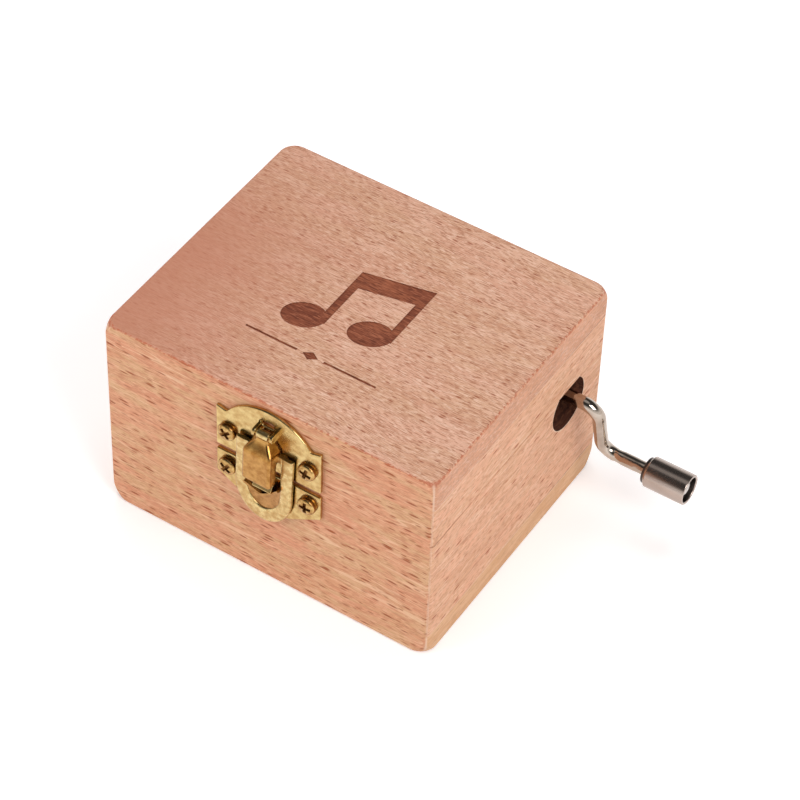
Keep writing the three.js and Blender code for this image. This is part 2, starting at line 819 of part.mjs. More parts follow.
// An upright plate with a round crown, drawn in XY with its foot at height zero
function uprightShape(halfWidth, axisHeight, crown) {
  const shape = new THREE.Shape();
  shape.moveTo(-halfWidth, 0);
  shape.lineTo(halfWidth, 0);
  shape.lineTo(crown, axisHeight);
  shape.absarc(0, axisHeight, crown, 0, Math.PI, false);
  return shape;
}

function cylinderPost(y, footHalfWidth) {
  const axisHeight = cylinderAxisZ - bedTopZ;
  const shape = uprightShape(postHalfWidth, axisHeight, postCrown);
  const plate = place(extrude(shape, postThickness), toFront, cylinderAxisX, y + postThickness, bedTopZ);
  const foot = block(2 * footHalfWidth, footLength + postThickness / 2, footThickness,
    cylinderAxisX - footHalfWidth, y - footLength, bedTopZ);
  const bore = place(rod(arborRadius + runningClearance, postThickness + 2 * overrun), toY,
    cylinderAxisX, y - overrun, cylinderAxisZ);
  return cut(join(plate, foot), bore, ...footScrewHoles());
}

function crankBracket(side) {
  const axisHeight = crankAxisZ - bedTopZ;
  const shape = uprightShape(bracketHalfWidth, axisHeight, bracketCrown);
  const x = side > 0 ? cylinderAxisX + bracketReach : cylinderAxisX - bracketX;
  const plate = place(extrude(shape, bracketThickness), toX, x, crankAxisY, bedTopZ);
  const footReach = side > 0 ? bracketX - bracketThickness / 2 : -bracketX - bracketFootLength;
  const foot = block(bracketFootLength + bracketThickness / 2, 2 * bracketHalfWidth, footThickness,
    cylinderAxisX + footReach, crankAxisY - bracketHalfWidth, bedTopZ);
  const bore = place(rod(wireRadius + runningClearance, bracketThickness + 2 * overrun), toX,
    x - overrun, crankAxisY, crankAxisZ);
  return cut(join(plate, foot), bore, ...footScrewHoles());
}

// The tune: a falling and a rising figure on the note tracks, one set of pins a beat
function tunePins() {
  const pins = [];
  for (let beat = 0; beat < beatCount; beat += 1) {
    const lead = (leadStride * beat + phraseShift * Math.floor(beat / phraseBeats)) % noteCount;
    const second = (lead + chordStep + beat % chordSpread) % noteCount;
    const bass = (bassStride * Math.floor(beat / bassBeats)) % bassNotes;
    pins.push([beat, lead]);
    if (beat % 2 === 0) {
      pins.push([beat, second]);
    }
    if (beat % bassBeats === 0 && bass !== lead && bass !== second) {
      pins.push([beat, bass]);
    }
  }
  return pins;
}

// Turns a body that points along +Z from the arbor to one at an angle about it
function aboutArbor(geometry, angle, y) {
  return geometry.rotateY(angle).translate(cylinderAxisX, y, cylinderAxisZ);
}

function cylinder() {
  const bore = arborRadius + fixedClearance;
  const edge = drumRadius + drumLipHeight;
  const profile = [
    [bore, 0],
    [edge, 0],
    [edge, drumLipWidth],
    [drumRadius, drumLipWidth],
    [drumRadius, drumLength - drumLipWidth],
    [edge, drumLength - drumLipWidth],
    [edge, drumLength],
    [bore, drumLength],
    [bore, 0],
  ];
  const drum = place(turned(profile, drumSides), toY, cylinderAxisX, drumFrontY, cylinderAxisZ);
  const pins = tunePins().map(([beat, note]) => {
    const pin = new THREE.CylinderGeometry(
      pinRadius * pinTipShare, pinRadius, pinLength + pinRoot, needleSides,
    );
    pin.rotateX(Math.PI / 2).translate(0, 0, drumRadius - pinRoot + (pinLength + pinRoot) / 2);
    const angle = 2 * Math.PI * beat / beatCount + Math.PI / beatCount;
    return aboutArbor(pin, angle, firstNoteY + note * notePitch);
  });
  return join(drum, ...pins);
}

function arbor() {
  const from = frontPostY - arborEnd;
  const to = backPostY + postThickness + arborEnd;
  return place(rod(arborRadius, to - from), toY, cylinderAxisX, from, cylinderAxisZ);
}

// The wheel's outline: its angle runs from +Z towards +X, with a gap straight up at rest
function wheelShape() {
  const tip = wheelPitchRadius + wheelTipHeight;
  const root = wheelPitchRadius - wheelRootDepth;
  const pitchAngle = 2 * Math.PI / wheelTeeth;
  const points = [];
  for (let tooth = 0; tooth < wheelTeeth; tooth += 1) {
    const middle = pitchAngle * tooth + pitchAngle / 2;
    const corners = [
      [-toothRootShare / 2, root],
      [-toothTipShare / 2, tip],
      [toothTipShare / 2, tip],
      [toothRootShare / 2, root],
    ];
    for (const [share, radius] of corners) {
      const angle = middle + share * pitchAngle;
      points.push([radius * Math.cos(angle), radius * Math.sin(angle)]);
    }
  }
  return polygon(points);
}

// The wheel: slanted teeth that follow the worm's lead, with a thinner web between rim and hub
function wormWheel() {
  const geometry = extrude(wheelShape(), wheelWidth, 1, 2);
  const slope = wormLead / (2 * Math.PI * wormPitchRadius * wheelPitchRadius);
  const position = geometry.attributes.position;
  for (let vertex = 0; vertex < position.count; vertex += 1) {
    const angle = slope * (position.getZ(vertex) - wheelWidth / 2);
    const [x, y] = [position.getX(vertex), position.getY(vertex)];
    position.setX(vertex, x * Math.cos(angle) - y * Math.sin(angle));
    position.setY(vertex, x * Math.sin(angle) + y * Math.cos(angle));
  }
  const webOuter = wheelPitchRadius - wheelRootDepth - wheelRimWidth;
  const recess = turned([
    [wheelHubRadius, 0],
    [webOuter, 0],
    [webOuter, wheelWebDepth + overrun],
    [wheelHubRadius, wheelWebDepth + overrun],
    [wheelHubRadius, 0],
  ], roundSides);
  const bore = rod(arborRadius + fixedClearance, wheelWidth + 2 * overrun).translate(0, 0, -overrun);
  const body = cut(geometry, bore,
    recess.clone().translate(0, 0, wheelWidth - wheelWebDepth),
    recess.clone().translate(0, 0, -overrun));
  return place(body, toY, cylinderAxisX, wheelFrontY, cylinderAxisZ);
}

// The worm: a core with collars, and one thread whose crest is lowest over the wheel's middle
function worm() {
  const root = wormPitchRadius - wormRootDepth;
  const tip = wormPitchRadius + wormTipHeight;
  const half = wormThreadLength / 2;
  const end = half + wormCollarLength;
  const bore = wireRadius + fixedClearance;
  const core = turned([
    [bore, -end],
    [wormCollarRadius, -end],
    [wormCollarRadius, -half],
    [root, -half],
    [root, half],
    [wormCollarRadius, half],
    [wormCollarRadius, end],
    [bore, end],
    [bore, -end],
  ], roundSides);
  const turns = Math.floor((wormThreadLength - wormLead) / wormLead / 2);
  const rings = [];
  for (let step = -turns * wormStepsPerTurn; step <= turns * wormStepsPerTurn; step += 1) {
    const turn = step / wormStepsPerTurn;
    const angle = 2 * Math.PI * turn - Math.PI / 2;
    const middle = wormLead * turn;
    const profile = [
      [root - wormRootDepth / 4, middle - toothRootShare * wormLead / 2],
      [root - wormRootDepth / 4, middle + toothRootShare * wormLead / 2],
      [tip, middle + toothTipShare * wormLead / 2],
      [tip, middle - toothTipShare * wormLead / 2],
    ];
    rings.push(profile.map(([radius, z]) => [radius * Math.cos(angle), radius * Math.sin(angle), z]));
  }
  return place(join(core, loft(rings)), toX, cylinderAxisX, crankAxisY, crankAxisZ);
}

// Crank wire: its path runs from inside the far bracket out along X, down the arm and out along the pin
class WirePath extends THREE.Curve {
  constructor(corners, bendRadius) {
    super();
    this.corners = corners;
    this.bendRadius = bendRadius;
  }

  // Equal shares of the length of u fall on each straight and each bend, so no sample cuts a bend short
  getUtoTmapping(u) {
    return u;
  }

  getPoint(t, target = new THREE.Vector3()) {
    const pieces = 2 * this.corners.length - 3;
    const piece = Math.min(Math.floor(t * pieces), pieces - 1);
    const local = t * pieces - piece;
    const corner = Math.ceil(piece / 2);
    if (piece % 2 === 1) {
      return target.copy(this.bendPoint(corner, local));
    }
    const from = corner === 0 ? this.corners[0] : this.bendPoint(corner, 1);
    const last = corner === this.corners.length - 2;
    const to = last ? this.corners[corner + 1] : this.bendPoint(corner + 1, 0);
    return target.lerpVectors(from, to, local);
  }

  // A point on the round bend at a corner, from its start at 0 to its end at 1
  bendPoint(corner, share) {
    const before = this.corners[corner - 1].clone().sub(this.corners[corner]).normalize();
    const after = this.corners[corner + 1].clone().sub(this.corners[corner]).normalize();
    const angle = Math.PI / 2 * share;
    const centre = this.corners[corner].clone()
      .addScaledVector(before, this.bendRadius)
      .addScaledVector(after, this.bendRadius);
    return centre.addScaledVector(after, -this.bendRadius * Math.cos(angle))
      .addScaledVector(before, -this.bendRadius * Math.sin(angle));
  }
}

const crankAngle = THREE.MathUtils.degToRad(crankRestAngle);
const armX = boxWidth / 2 + wireRadius + crankArmGap;
const pinY = crankAxisY + crankArmLength * Math.sin(crankAngle);
const pinZ = crankAxisZ - crankArmLength * Math.cos(crankAngle);
const knobX = armX + knobStandoff;
const pinSeatX = knobX + knobLength - knobRecess;

function crankWire() {
  const inner = cylinderAxisX - bracketX - arborEnd;
  const corners = [
    new THREE.Vector3(inner, crankAxisY, crankAxisZ),
    new THREE.Vector3(armX, crankAxisY, crankAxisZ),
    new THREE.Vector3(armX, pinY, pinZ),
    new THREE.Vector3(pinSeatX + pinEndReach, pinY, pinZ),
  ];
  const section = new THREE.Shape().absarc(0, 0, wireRadius, 0, 2 * Math.PI, false);
  const wire = new THREE.ExtrudeGeometry(section, {
    steps: wireSteps,
    curveSegments: wireSegments,
    bevelEnabled: false,
    extrudePath: new WirePath(corners, crankBendRadius),
  });
  const head = turned([
    [0, 0],
    [pinHeadRadius, 0],
    [pinHeadRadius, pinHeadThickness / 2],
    [wireRadius, pinHeadThickness],
    [0, pinHeadThickness],
  ], roundSides);
  return join(wire, place(head, toX, pinSeatX + bodyGap / 2, pinY, pinZ));
}

function knob() {
  const bore = wireRadius + runningClearance;
  const recessRadius = knobRadius - knobWall;
  const profile = [
    [bore, 0],
    [knobRadius - knobNeckDepth, 0],
    [knobRadius - knobNeckDepth, knobNeckLength],
    [knobRadius, knobNeckLength],
    [knobRadius, knobLength],
    [recessRadius, knobLength],
    [recessRadius, knobLength - knobRecess],
    [bore, knobLength - knobRecess],
    [bore, 0],
  ];
  return place(turned(profile, knobSides), toX, knobX, pinY, pinZ);
}

// Assembly
const wallNames = ["front", "right", "back", "left"];

function addBox() {
  const bottom = panel({
    z: 0,
    thickness: bottomThickness,
    edge: bottomEdgeRadius,
    corner: bottomCornerRadius,
    depth: bottomCornerDepth,
    side: -1,
  });
  addPart("bottom_panel", cut(bottom, ...bedScrewPockets()), "beechWall");
  wallNames.forEach((name, side) => {
    const cuts = {
      front: latchScrewHoles("lower"),
      back: hingeScrewHoles(-1),
      right: [crankNotch()],
      left: [],
    };
    const plain = wall(side, bottomThickness, baseWallHeight);
    addPart(`base_${name}_wall`, cuts[name].length ? cut(plain, ...cuts[name]) : plain, "beechWall");
  });
  wallNames.forEach((name, side) => {
    const cuts = {
      front: latchScrewHoles("upper"),
      back: hingeScrewHoles(1),
      right: [],
      left: [],
    };
    const plain = wall(side, lidBottomZ, lidWallHeight);
    addPart(`lid_${name}_wall`, cuts[name].length ? cut(plain, ...cuts[name]) : plain, "beechWall");
  });
  const top = panel({
    z: topPanelZ,
    thickness: topThickness,
    edge: topEdgeRadius,
    corner: topCornerRadius,
    depth: topCornerDepth,
    side: 1,
  });
  addPart("top_panel", top, "beechTop");
}

// Holes through the bottom panel, wider below for the screw heads
function bedScrewPockets() {
  return bedScrewSpots().flatMap(([x, y]) => [
    rod(bedScrew.shank + screwClearance, bottomThickness + 2 * overrun, smallSides)
      .translate(x, y, -overrun),
    rod(bedScrew.head + screwClearance, bedScrewRecess + overrun).translate(x, y, -overrun),
  ]);
}

function addHinges() {
  hingeXs.forEach((x) => {
    const name = x < 0 ? "left_hinge" : "right_hinge";
    addPart(`${name}_base_leaf`, hingeLeaf(x, -1), "brass");
    addPart(`${name}_lid_leaf`, hingeLeaf(x, 1), "brass");
    addPart(`${name}_pin`, hingePin(x), "brass");
    hingeScrewXs(x).forEach((spot, count) => {
      addPart(`${name}_base_screw_${count + 1}`, hingeScrewAt(screw(hingeScrew), spot, -1), "brass");
      addPart(`${name}_lid_screw_${count + 1}`, hingeScrewAt(screw(hingeScrew), spot, 1), "brass");
    });
  });
}

function addLatch() {
  addPart("latch_upper_plate", upperPlate(), "brass");
  addPart("latch_lower_plate", lowerPlate(), "brass");
  addPart("latch_tongue", tongue(), "brass");
  addPart("latch_pin", tonguePin(), "brass");
  latchScrewSpots().forEach(({ level, side, x, z }) => {
    const name = `latch_${level}_screw_${side < 0 ? "left" : "right"}`;
    addPart(name, onFront(screw(latchScrew).translate(x, z, plateThickness)), "brass");
  });
}

function addMovement() {
  addPart("bedplate", bedplate(), "zinc");
  addPart("comb_block", combBlock(), "zinc");
  addPart("comb", comb(), "steel");
  addPart("front_post", cylinderPost(frontPostY, postHalfWidth), "zinc");
  addPart("back_post", cylinderPost(backPostY, backFootHalfWidth), "zinc");
  addPart("inner_crank_bracket", crankBracket(-1), "zinc");
  addPart("outer_crank_bracket", crankBracket(1), "zinc");
  addPart("cylinder", cylinder(), "brass");
  addPart("cylinder_arbor", arbor(), "steel");
  addPart("worm_wheel", wormWheel(), "brass");
  addPart("worm", worm(), "darkSteel");
  combScrewSpots().forEach((spot, count) => {
    addPart(`comb_screw_${count + 1}`, combScrewAt(screw(combScrew), spot), "brass");
  });
  footScrewSpots().forEach((spot, count) => {
    addPart(`foot_screw_${count + 1}`, footScrewAt(screw(footScrew), spot), "steel");
  });
  bedScrewSpots().forEach((spot, count) => {
    addPart(`bed_screw_${count + 1}`, bedScrewAt(screw(bedScrew), spot), "steel");
  });
}

function addCrank() {
  addPart("crank", crankWire(), "steel");
  addPart("knob", knob(), "steel");
}

addBox();
addHinges();
addLatch();
addMovement();
addCrank();

export default object;
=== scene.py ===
"""Looks of the hand crank music box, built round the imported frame. Shapes are worked out in millimetres."""

import json
import math
from collections import namedtuple

import bmesh
import bpy
from mathutils import Matrix, Vector


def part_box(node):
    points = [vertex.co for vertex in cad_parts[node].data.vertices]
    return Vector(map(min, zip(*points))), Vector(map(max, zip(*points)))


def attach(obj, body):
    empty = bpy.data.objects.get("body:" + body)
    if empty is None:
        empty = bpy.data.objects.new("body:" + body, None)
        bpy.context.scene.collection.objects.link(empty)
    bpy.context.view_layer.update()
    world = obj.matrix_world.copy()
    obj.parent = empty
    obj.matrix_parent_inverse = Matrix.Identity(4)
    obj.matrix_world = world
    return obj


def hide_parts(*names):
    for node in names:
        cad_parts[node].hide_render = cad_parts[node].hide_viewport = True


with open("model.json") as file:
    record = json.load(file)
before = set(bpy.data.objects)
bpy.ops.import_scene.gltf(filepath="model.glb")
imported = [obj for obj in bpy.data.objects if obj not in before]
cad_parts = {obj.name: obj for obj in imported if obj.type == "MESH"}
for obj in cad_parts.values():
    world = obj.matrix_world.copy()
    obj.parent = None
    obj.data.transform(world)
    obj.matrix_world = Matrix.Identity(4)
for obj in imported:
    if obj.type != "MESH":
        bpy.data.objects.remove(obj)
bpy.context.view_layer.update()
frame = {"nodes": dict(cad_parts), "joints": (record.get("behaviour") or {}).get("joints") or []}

# Units and the photograph's camera, in millimetres, degrees and pixels of an 800 by 800 picture
MM = 0.001
PICTURE_WIDTH = 800
SENSOR_WIDTH = 36.0
FOCAL_PIXELS = 3171.5
CAMERA_AZIMUTH = 31.23
CAMERA_ELEVATION = 46.42
CAMERA_ROLL = 2.31
CAMERA_DISTANCE = 549.8
CAMERA_SHIFT_RIGHT = 7.92
CAMERA_SHIFT_UP = 13.33
CLIP_START, CLIP_END = 0.01, 10

# Box shapes that the frame's boxes don't give. The corner at the back left is rounder than the others.
CORNER_RADIUS = 0.9
ROUND_CORNER, ROUND_CORNER_RADIUS = 3, 3.0
TOP_EDGE_RADIUS = 0.5
TOP_CORNER_RADIUS = 3.0
TOP_CORNER_DEPTH = 2.5
BOTTOM_EDGE_RADIUS = 0.5
BOTTOM_CORNER_RADIUS = 3.5
BOTTOM_CORNER_DEPTH = 4.0
WALL_THICKNESS = 5.0
WALL_EASE = 0.05
SEAM_CLOSE = 0.09
OPEN_SEAM_CLOSE = 0.02
NOTCH_RADIUS = 5.0
NOTCH_SHIFT = -1.0
NOTCH_DROP = 0.8
POCKET_CLEARANCE, POCKET_HOLE, POCKET_DEPTH = 0.25, 1.35, 2.2

# Engraved mark on the top: two joined music notes over a plain rule with a lozenge
BURN_DEPTH = 0.14
BURN_STEP = 0.012
NOTE_HEADS = ((-6.1, -7.0), (5.3, -4.6))
HEAD_LONG = 3.9
HEAD_SHORT = 2.9
HEAD_TILT = 22
STEM_WIDTH = 1.5
STEM_TOPS = (6.8, 9.2)
BEAM_DROP = 4.0
RULE_Y = -14.2
RULE_HALF = 12.6
RULE_WIDTH = 0.42
RULE_GAP = 2.6
LOZENGE = (1.5, 0.95)

# Screws: dome and cross recess as shares of the head's radius and rise, how far the cutters stand out, the slope
# under which a face belongs to the head's side with its painted shade, and the turn from one screw to the next
SCREW_DOME = ((1.0, 0.42), (0.98, 0.54), (0.94, 0.66), (0.88, 0.76), (0.78, 0.85), (0.62, 0.92), (0.4, 0.97),
              (0.0, 1.0))
RECESS_REACH, RECESS_WIDTH, RECESS_DEPTH = 0.78, 0.4, 0.6
RECESS_TAPER, RECESS_NARROW, RECESS_CLEAR = 0.55, 0.6, 0.2
SIDE_SLOPE = 0.3
SCREW_TURN = 37

# Latch: heights above the seam, places across from its middle, reaches out from the front of the box. The edges
# are the widths that its pieces are softened by.
BARREL_RADIUS = 0.8
NECK_HALF_WIDTH = 1.1
PLATE_THICKNESS = 0.8
PLATE_HALF_WIDTH = 10.2
PLATE_ROLL = 0.26
UPPER_LIFT, HORN_HEIGHT, HORN_DIP = 0.7, 9.7, 0.45
ARCH_HALF_WIDTH, ARCH_APEX = 8.1, 13.6
LOWER_DROP, LOWER_SIDE, SLOPE_END, SLOPE_HALF, LOWER_DEPTH = 0.4, 5.6, 9.2, 4.2, 10.4
SLOT_HALF_WIDTH, SLOT_HEIGHT, SLOT_RISE, SLOT_CLEAR = 1.15, 1.0, 0.7, 1.0
EAR_THICKNESS, EAR_GAP = 0.6, 0.3
CATCH_REACH, CATCH_TOP, CATCH_FOOT, CATCH_LIP = 2.9, -0.8, -3.2, 0.7
CATCH_HALF_WIDTH = 1.8
TONGUE_LEAN = 2.0
RIM_HALF_WIDTH = 5.55
RIM_BAND = 2.33
RIM_SHOULDER = 5.9
RIM_BEND = -4.0
RIM_FOOT_DEPTH = 7.4
WINDOW_FOOT_DEPTH = 4.4
RIM_BACK, RIM_FRONT = 1.1, 1.8
RIM_SECTION = ((0.0, 0.0), (0.0, 0.45), (0.03, 0.68), (0.09, 0.86), (0.18, 0.96), (0.3, 1.0), (0.7, 1.0),
               (0.82, 0.96), (0.91, 0.86), (0.97, 0.68), (1.0, 0.45), (1.0, 0.0))
DISH_TUCK, DISH_END = 0.12, 0.02
BOWL_SPAN, BOWL_CURVE = 0.9, 0.7
DISH_TOP = -4.4
DISH_RISE_LEFT, DISH_RISE_RIGHT, DISH_RISE_CURVE = 1.2, 2.8, 1.3
DISH_REACH, DISH_DEPTH = 1.2, 0.2
DISH_LIP, DISH_LIP_START = 1.3, 0.75
DISH_THICKNESS = 0.35
HOOD_HALF_WIDTH = 2.77
HOOD_REACH = 4.1
HOOD_LIP, HOOD_LIP_HEIGHT, HOOD_LIP_SET = -0.1, 0.4, 0.06
HOOD_SHEET = 0.5
HOOD_RIDGE, HOOD_RIDGE_LEAST = 0.55, 0.12
SKIRT_DEPTH = 1.9
SKIRT_TOP, FLARE_TOP = 4.2, 5.3
SHOULDER, CROWN = 6.0, 9.1
NECK_REACH, NECK_CURVE = 2.6, 1.15
BRIDGE_HEIGHT, BRIDGE_TUCK, BRIDGE_SET = 1.4, 0.3, 0.06
RIM_EDGE, DISH_EDGE, HOOD_EDGE, JOINT_EDGE, CATCH_EDGE = 0.08, 0.05, 0.06, 0.1, 0.15

# Crank and knob
WIRE_RADIUS, WIRE_EDGE = 1.2, 0.12
ARM_X = 37.1
BEND_RADIUS = 2.9
WIRE_END_GAP = 0.05
CRIMP_LENGTH = 0.8
CRIMP_SHARE = 0.1
CRIMP_AFTER_BEND, CRIMP_BEFORE_KNOB = 0.3, 1.2
COLLAR_RADIUS, COLLAR_THICKNESS = 1.75, 0.5
PIN_END_DEPTH, PIN_DOME = 0.45, 0.3
KNOB_RADIUS = 2.8
KNOB_WALL = 0.5
KNOB_RECESS = 2.2
KNOB_NECK = 0.7
KNOB_NECK_DEPTH = 0.45
KNOB_BORE = 1.4
KNOB_EDGE = 0.2

# Floor, light and what polished metal mirrors, by the height of a direction from 0 at the horizon to 1 overhead
WHITE = (1.0, 1.0, 1.0)
FLOOR_REACH = 900.0
FLOOR_GAP = 0.02
FLOOR_COLOUR = (0.8, 0.8, 0.8)
FLOOR_GLOW = 0.2
AMBIENT = (0.42, 0.42, 0.43)
WALL_START, WALL_END, WALL_LEVEL = 0.12, 0.55, 0.06
CEILING_START, CEILING_END, CEILING_LEVEL = 0.915, 0.965, 0.5
LAMP_TARGET = (0, 0, 20)
# Each lamp: name, place, size, watts and whether metal mirrors it
LAMPS = (
    ("key", (420, -160, 420), (320, 320), 1.7, True),
    ("fill", (-380, -420, 260), (400, 400), 1.5, False),
    ("top", (-60, 220, 560), (420, 300), 0.9, False),
)

# How far apart points of a CAD node are still one, and how flat neighbouring faces are to be joined
WELD_REACH = 0.0005
FLAT_ANGLE = 1.0


# Mesh helpers
def mm_box(name):
    """Lowest and highest corner of a CAD node, in millimetres."""
    low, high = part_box(name)
    return Vector(low) / MM, Vector(high) / MM


def joint_place(name):
    """Where a joint sits, in millimetres."""
    return Vector(next(joint["pos_m"] for joint in frame["joints"] if joint["name"] == name)) / MM


def angles(start, sweep, steps):
    """The angles at both ends of each of the equal steps of an arc."""
    return [start + sweep * step / steps for step in range(steps + 1)]


def add_object(name, data):
    """A new object in the scene."""
    obj = bpy.data.objects.new(name, data)
    bpy.context.scene.collection.objects.link(obj)
    return obj


def clean_mesh(mesh, join=False):
    """Turns the faces outwards. If asked, it first joins flat neighbours into single faces."""
    work = bmesh.new()
    work.from_mesh(mesh)
    if join:
        bmesh.ops.remove_doubles(work, verts=work.verts, dist=WELD_REACH)
        bmesh.ops.dissolve_limit(work, angle_limit=math.radians(FLAT_ANGLE), verts=work.verts, edges=work.edges)
    bmesh.ops.recalc_face_normals(work, faces=work.faces)
    work.to_mesh(mesh)
    work.free()


def make_object(name, vertices, faces):
    """A new object in millimetres, its faces turned outwards."""
    mesh = bpy.data.meshes.new(name)
    mesh.from_pydata([tuple(v) for v in vertices], [], faces)
    clean_mesh(mesh)
    return add_object(name, mesh)


def loft(name, rings):
    """A body through rings of points with equal counts, with a flat face at each end."""
    count = len(rings[0])
    vertices = [point for ring in rings for point in ring]
    faces = []
    for start in range(0, len(vertices) - count, count):
        for side in range(count):
            step = (side + 1) % count
            faces.append((start + side, start + step, start + count + step, start + count + side))
    faces.append(tuple(reversed(range(count))))
    faces.append(tuple(range(len(vertices) - count, len(vertices))))
    return make_object(name, vertices, faces)


def revolve(name, profile, sides=48):
    """A turned body about Z from (radius, height) pairs. A profile that starts off the axis closes on itself."""
    solid = profile[0][0] == 0
    vertices, rings = [], []
    for radius, height in profile:
        if radius == 0:
            rings.append([len(vertices)] * sides)
            vertices.append((0, 0, height))
            continue
        rings.append(list(range(len(vertices), len(vertices) + sides)))
        for angle in angles(0, 2 * math.pi, sides)[:-1]:
            vertices.append((radius * math.cos(angle), radius * math.sin(angle), height))
    faces = []
    for ring in range(len(rings) - 1 if solid else len(rings)):
        low, high = rings[ring], rings[(ring + 1) % len(rings)]
        for side in range(sides):
            step = (side + 1) % sides
            faces.append(tuple(dict.fromkeys((low[side], low[step], high[step], high[side]))))
    return make_object(name, vertices, faces)


def prism(name, outline, low, high):
    """An outline of (x, y) points carried from one height to another."""
    return loft(name, [[(x, y, z) for x, y in outline] for z in (low, high)])


def moved(obj, matrix):
    """The object's mesh, moved by a matrix in millimetres."""
    obj.data.transform(matrix)
    return obj


def laid_along_x(obj, place):
    """A turned piece laid along X, its foot at a place."""
    return moved(obj, Matrix.Translation(place) @ Matrix.Rotation(math.pi / 2, 4, "Y"))


def bake_modifiers(obj):
    """Puts the result of the modifiers into the mesh."""
    graph = bpy.context.evaluated_depsgraph_get()
    mesh = bpy.data.meshes.new_from_object(obj.evaluated_get(graph), depsgraph=graph)
    obj.modifiers.clear()
    obj.data = mesh


def carve(obj, *cutters):
    """Cuts each cutter out of the object, keeps the cutter's material on the cut, and removes the cutter."""
    for cutter in cutters:
        cut = obj.modifiers.new("cut", "BOOLEAN")
        cut.operation = "DIFFERENCE"
        cut.solver = "EXACT"
        cut.object = cutter
        if cutter.data.materials:
            cut.material_mode = "TRANSFER"
        bake_modifiers(obj)
        bpy.data.objects.remove(cutter, do_unlink=True)
    return obj


def soften(obj, width, segments=3, angle=32):
    """Rounds the edges that are sharper than the angle, and shades the rest smooth with flat faces kept flat."""
    if width > 0:
        bevel = obj.modifiers.new("bevel", "BEVEL")
        bevel.width = width
        bevel.segments = segments
        bevel.limit_method = "ANGLE"
        bevel.angle_limit = math.radians(angle)
        bevel.use_clamp_overlap = True
        bevel.miter_outer = "MITER_ARC"
    for polygon in obj.data.polygons:
        polygon.use_smooth = True
    obj.modifiers.new("normals", "WEIGHTED_NORMAL").keep_sharp = True
    bake_modifiers(obj)
    return obj


def place_piece(obj, body, slot, nodes, *materials):
    """Turns a millimetre object into a finished piece on a body, in place of its CAD nodes."""
    obj.data.transform(Matrix.Scale(MM, 4))
    if materials:
        obj.data.materials.clear()
        for material in materials:
            obj.data.materials.append(material)
    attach(obj, body)
    if nodes:
        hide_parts(*nodes)
    return obj


def copy_of_node(node_name, name):
    """A copy of a CAD node in millimetres, with its flat faces joined into single ones."""
    source = frame["nodes"][node_name]
    mesh = source.data.copy()
    mesh.transform(source.matrix_world)
    mesh.transform(Matrix.Scale(1 / MM, 4))
    mesh.materials.clear()
    clean_mesh(mesh, join=True)
    return add_object(name, mesh)


# Node helpers
def link(value, socket):
    socket.id_data.links.new(value, socket)


def node(kind, inputs=None, tree=None, **settings):
    """A new shader node, set up and with its inputs linked or filled, in the given tree or that of its inputs."""
    inputs = inputs or {}
    if tree is None:
        tree = next(value.id_data for value in inputs.values() if isinstance(value, bpy.types.NodeSocket))
    made = tree.nodes.new(kind)
    for key, value in settings.items():
        setattr(made, key, value)
    for key, value in inputs.items():
        if isinstance(value, bpy.types.NodeSocket):
            link(value, made.inputs[key])
        else:
            made.inputs[key].default_value = value
    return made


def math_node(operation, first, second=0.0, clamp=False):
    return node("ShaderNodeMath", {0: first, 1: second}, operation=operation, use_clamp=clamp).outputs[0]


def vector_node(operation, first, second):
    return node("ShaderNodeVectorMath", {0: first, 1: second}, operation=operation).outputs[0]


def masked(*masks):
    """The product of masks and shares."""
    result = masks[0]
    for mask in masks[1:]:
        result = math_node("MULTIPLY", result, mask)
    return result


def coordinates(tree, kind):
    return node("ShaderNodeTexCoord", tree=tree).outputs[kind]


def axes(vector):
    """The X, Y and Z parts of a vector."""
    parts = node("ShaderNodeSeparateXYZ", {0: vector})
    return [parts.outputs[axis] for axis in range(3)]


def ramp(value, low, high, to_low=0.0, to_high=1.0):
    """Value carried smoothly from one range to another, and held at its ends."""
    inputs = {"Value": value, "From Min": low, "From Max": high, "To Min": to_low, "To Max": to_high}
    return node("ShaderNodeMapRange", inputs, interpolation_type="SMOOTHSTEP").outputs["Result"]


def off_level(value, level):
    """How far a value is from a level, either way."""
    return math_node("ABSOLUTE", math_node("SUBTRACT", value, level))


def near_level(value, level, reach, fade):
    """One at a level, and zero further off than the reach and the fade."""
    return ramp(off_level(value, level), reach + fade, reach)


def blend_colour(factor, first, second):
    first, second = (end if isinstance(end, bpy.types.NodeSocket) else (*end, 1.0) for end in (first, second))
    return node("ShaderNodeMix", {0: factor, 6: first, 7: second}, data_type="RGBA").outputs[2]


def add_bump(shader, height, strength, reach):
    """Relief on the shader from a height, its reach in millimetres."""
    bump = node("ShaderNodeBump", {"Strength": strength, "Distance": reach * MM, "Height": height})
    link(bump.outputs["Normal"], shader.inputs["Normal"])


def srgb(red, green, blue):
    """A colour given in picture levels from 0 to 255, as the linear colour that the shader takes."""
    def linear(level):
        share = level / 255
        return share / 12.92 if share <= 0.04045 else ((share + 0.055) / 1.055) ** 2.4
    return linear(red), linear(green), linear(blue)


def new_material(name, **settings):
    """A material, its tree and its main shader, with plain settings on the shader's own sockets."""
    material = bpy.data.materials.new(name)
    material.use_nodes = True
    tree = material.node_tree
    shader = tree.nodes["Principled BSDF"]
    for key, value in settings.items():
        shader.inputs[key.replace("_", " ")].default_value = value
    return material, tree, shader


def millimetres(tree, turn=0.0, offset=(0.0, 0.0, 0.0)):
    """Object coordinates in millimetres, turned about Z by degrees and shifted."""
    inputs = {"Vector": coordinates(tree, "Object"), "Location": offset,
              "Rotation": (0.0, 0.0, math.radians(turn)), "Scale": (1 / MM, 1 / MM, 1 / MM)}
    return node("ShaderNodeMapping", inputs).outputs["Vector"]


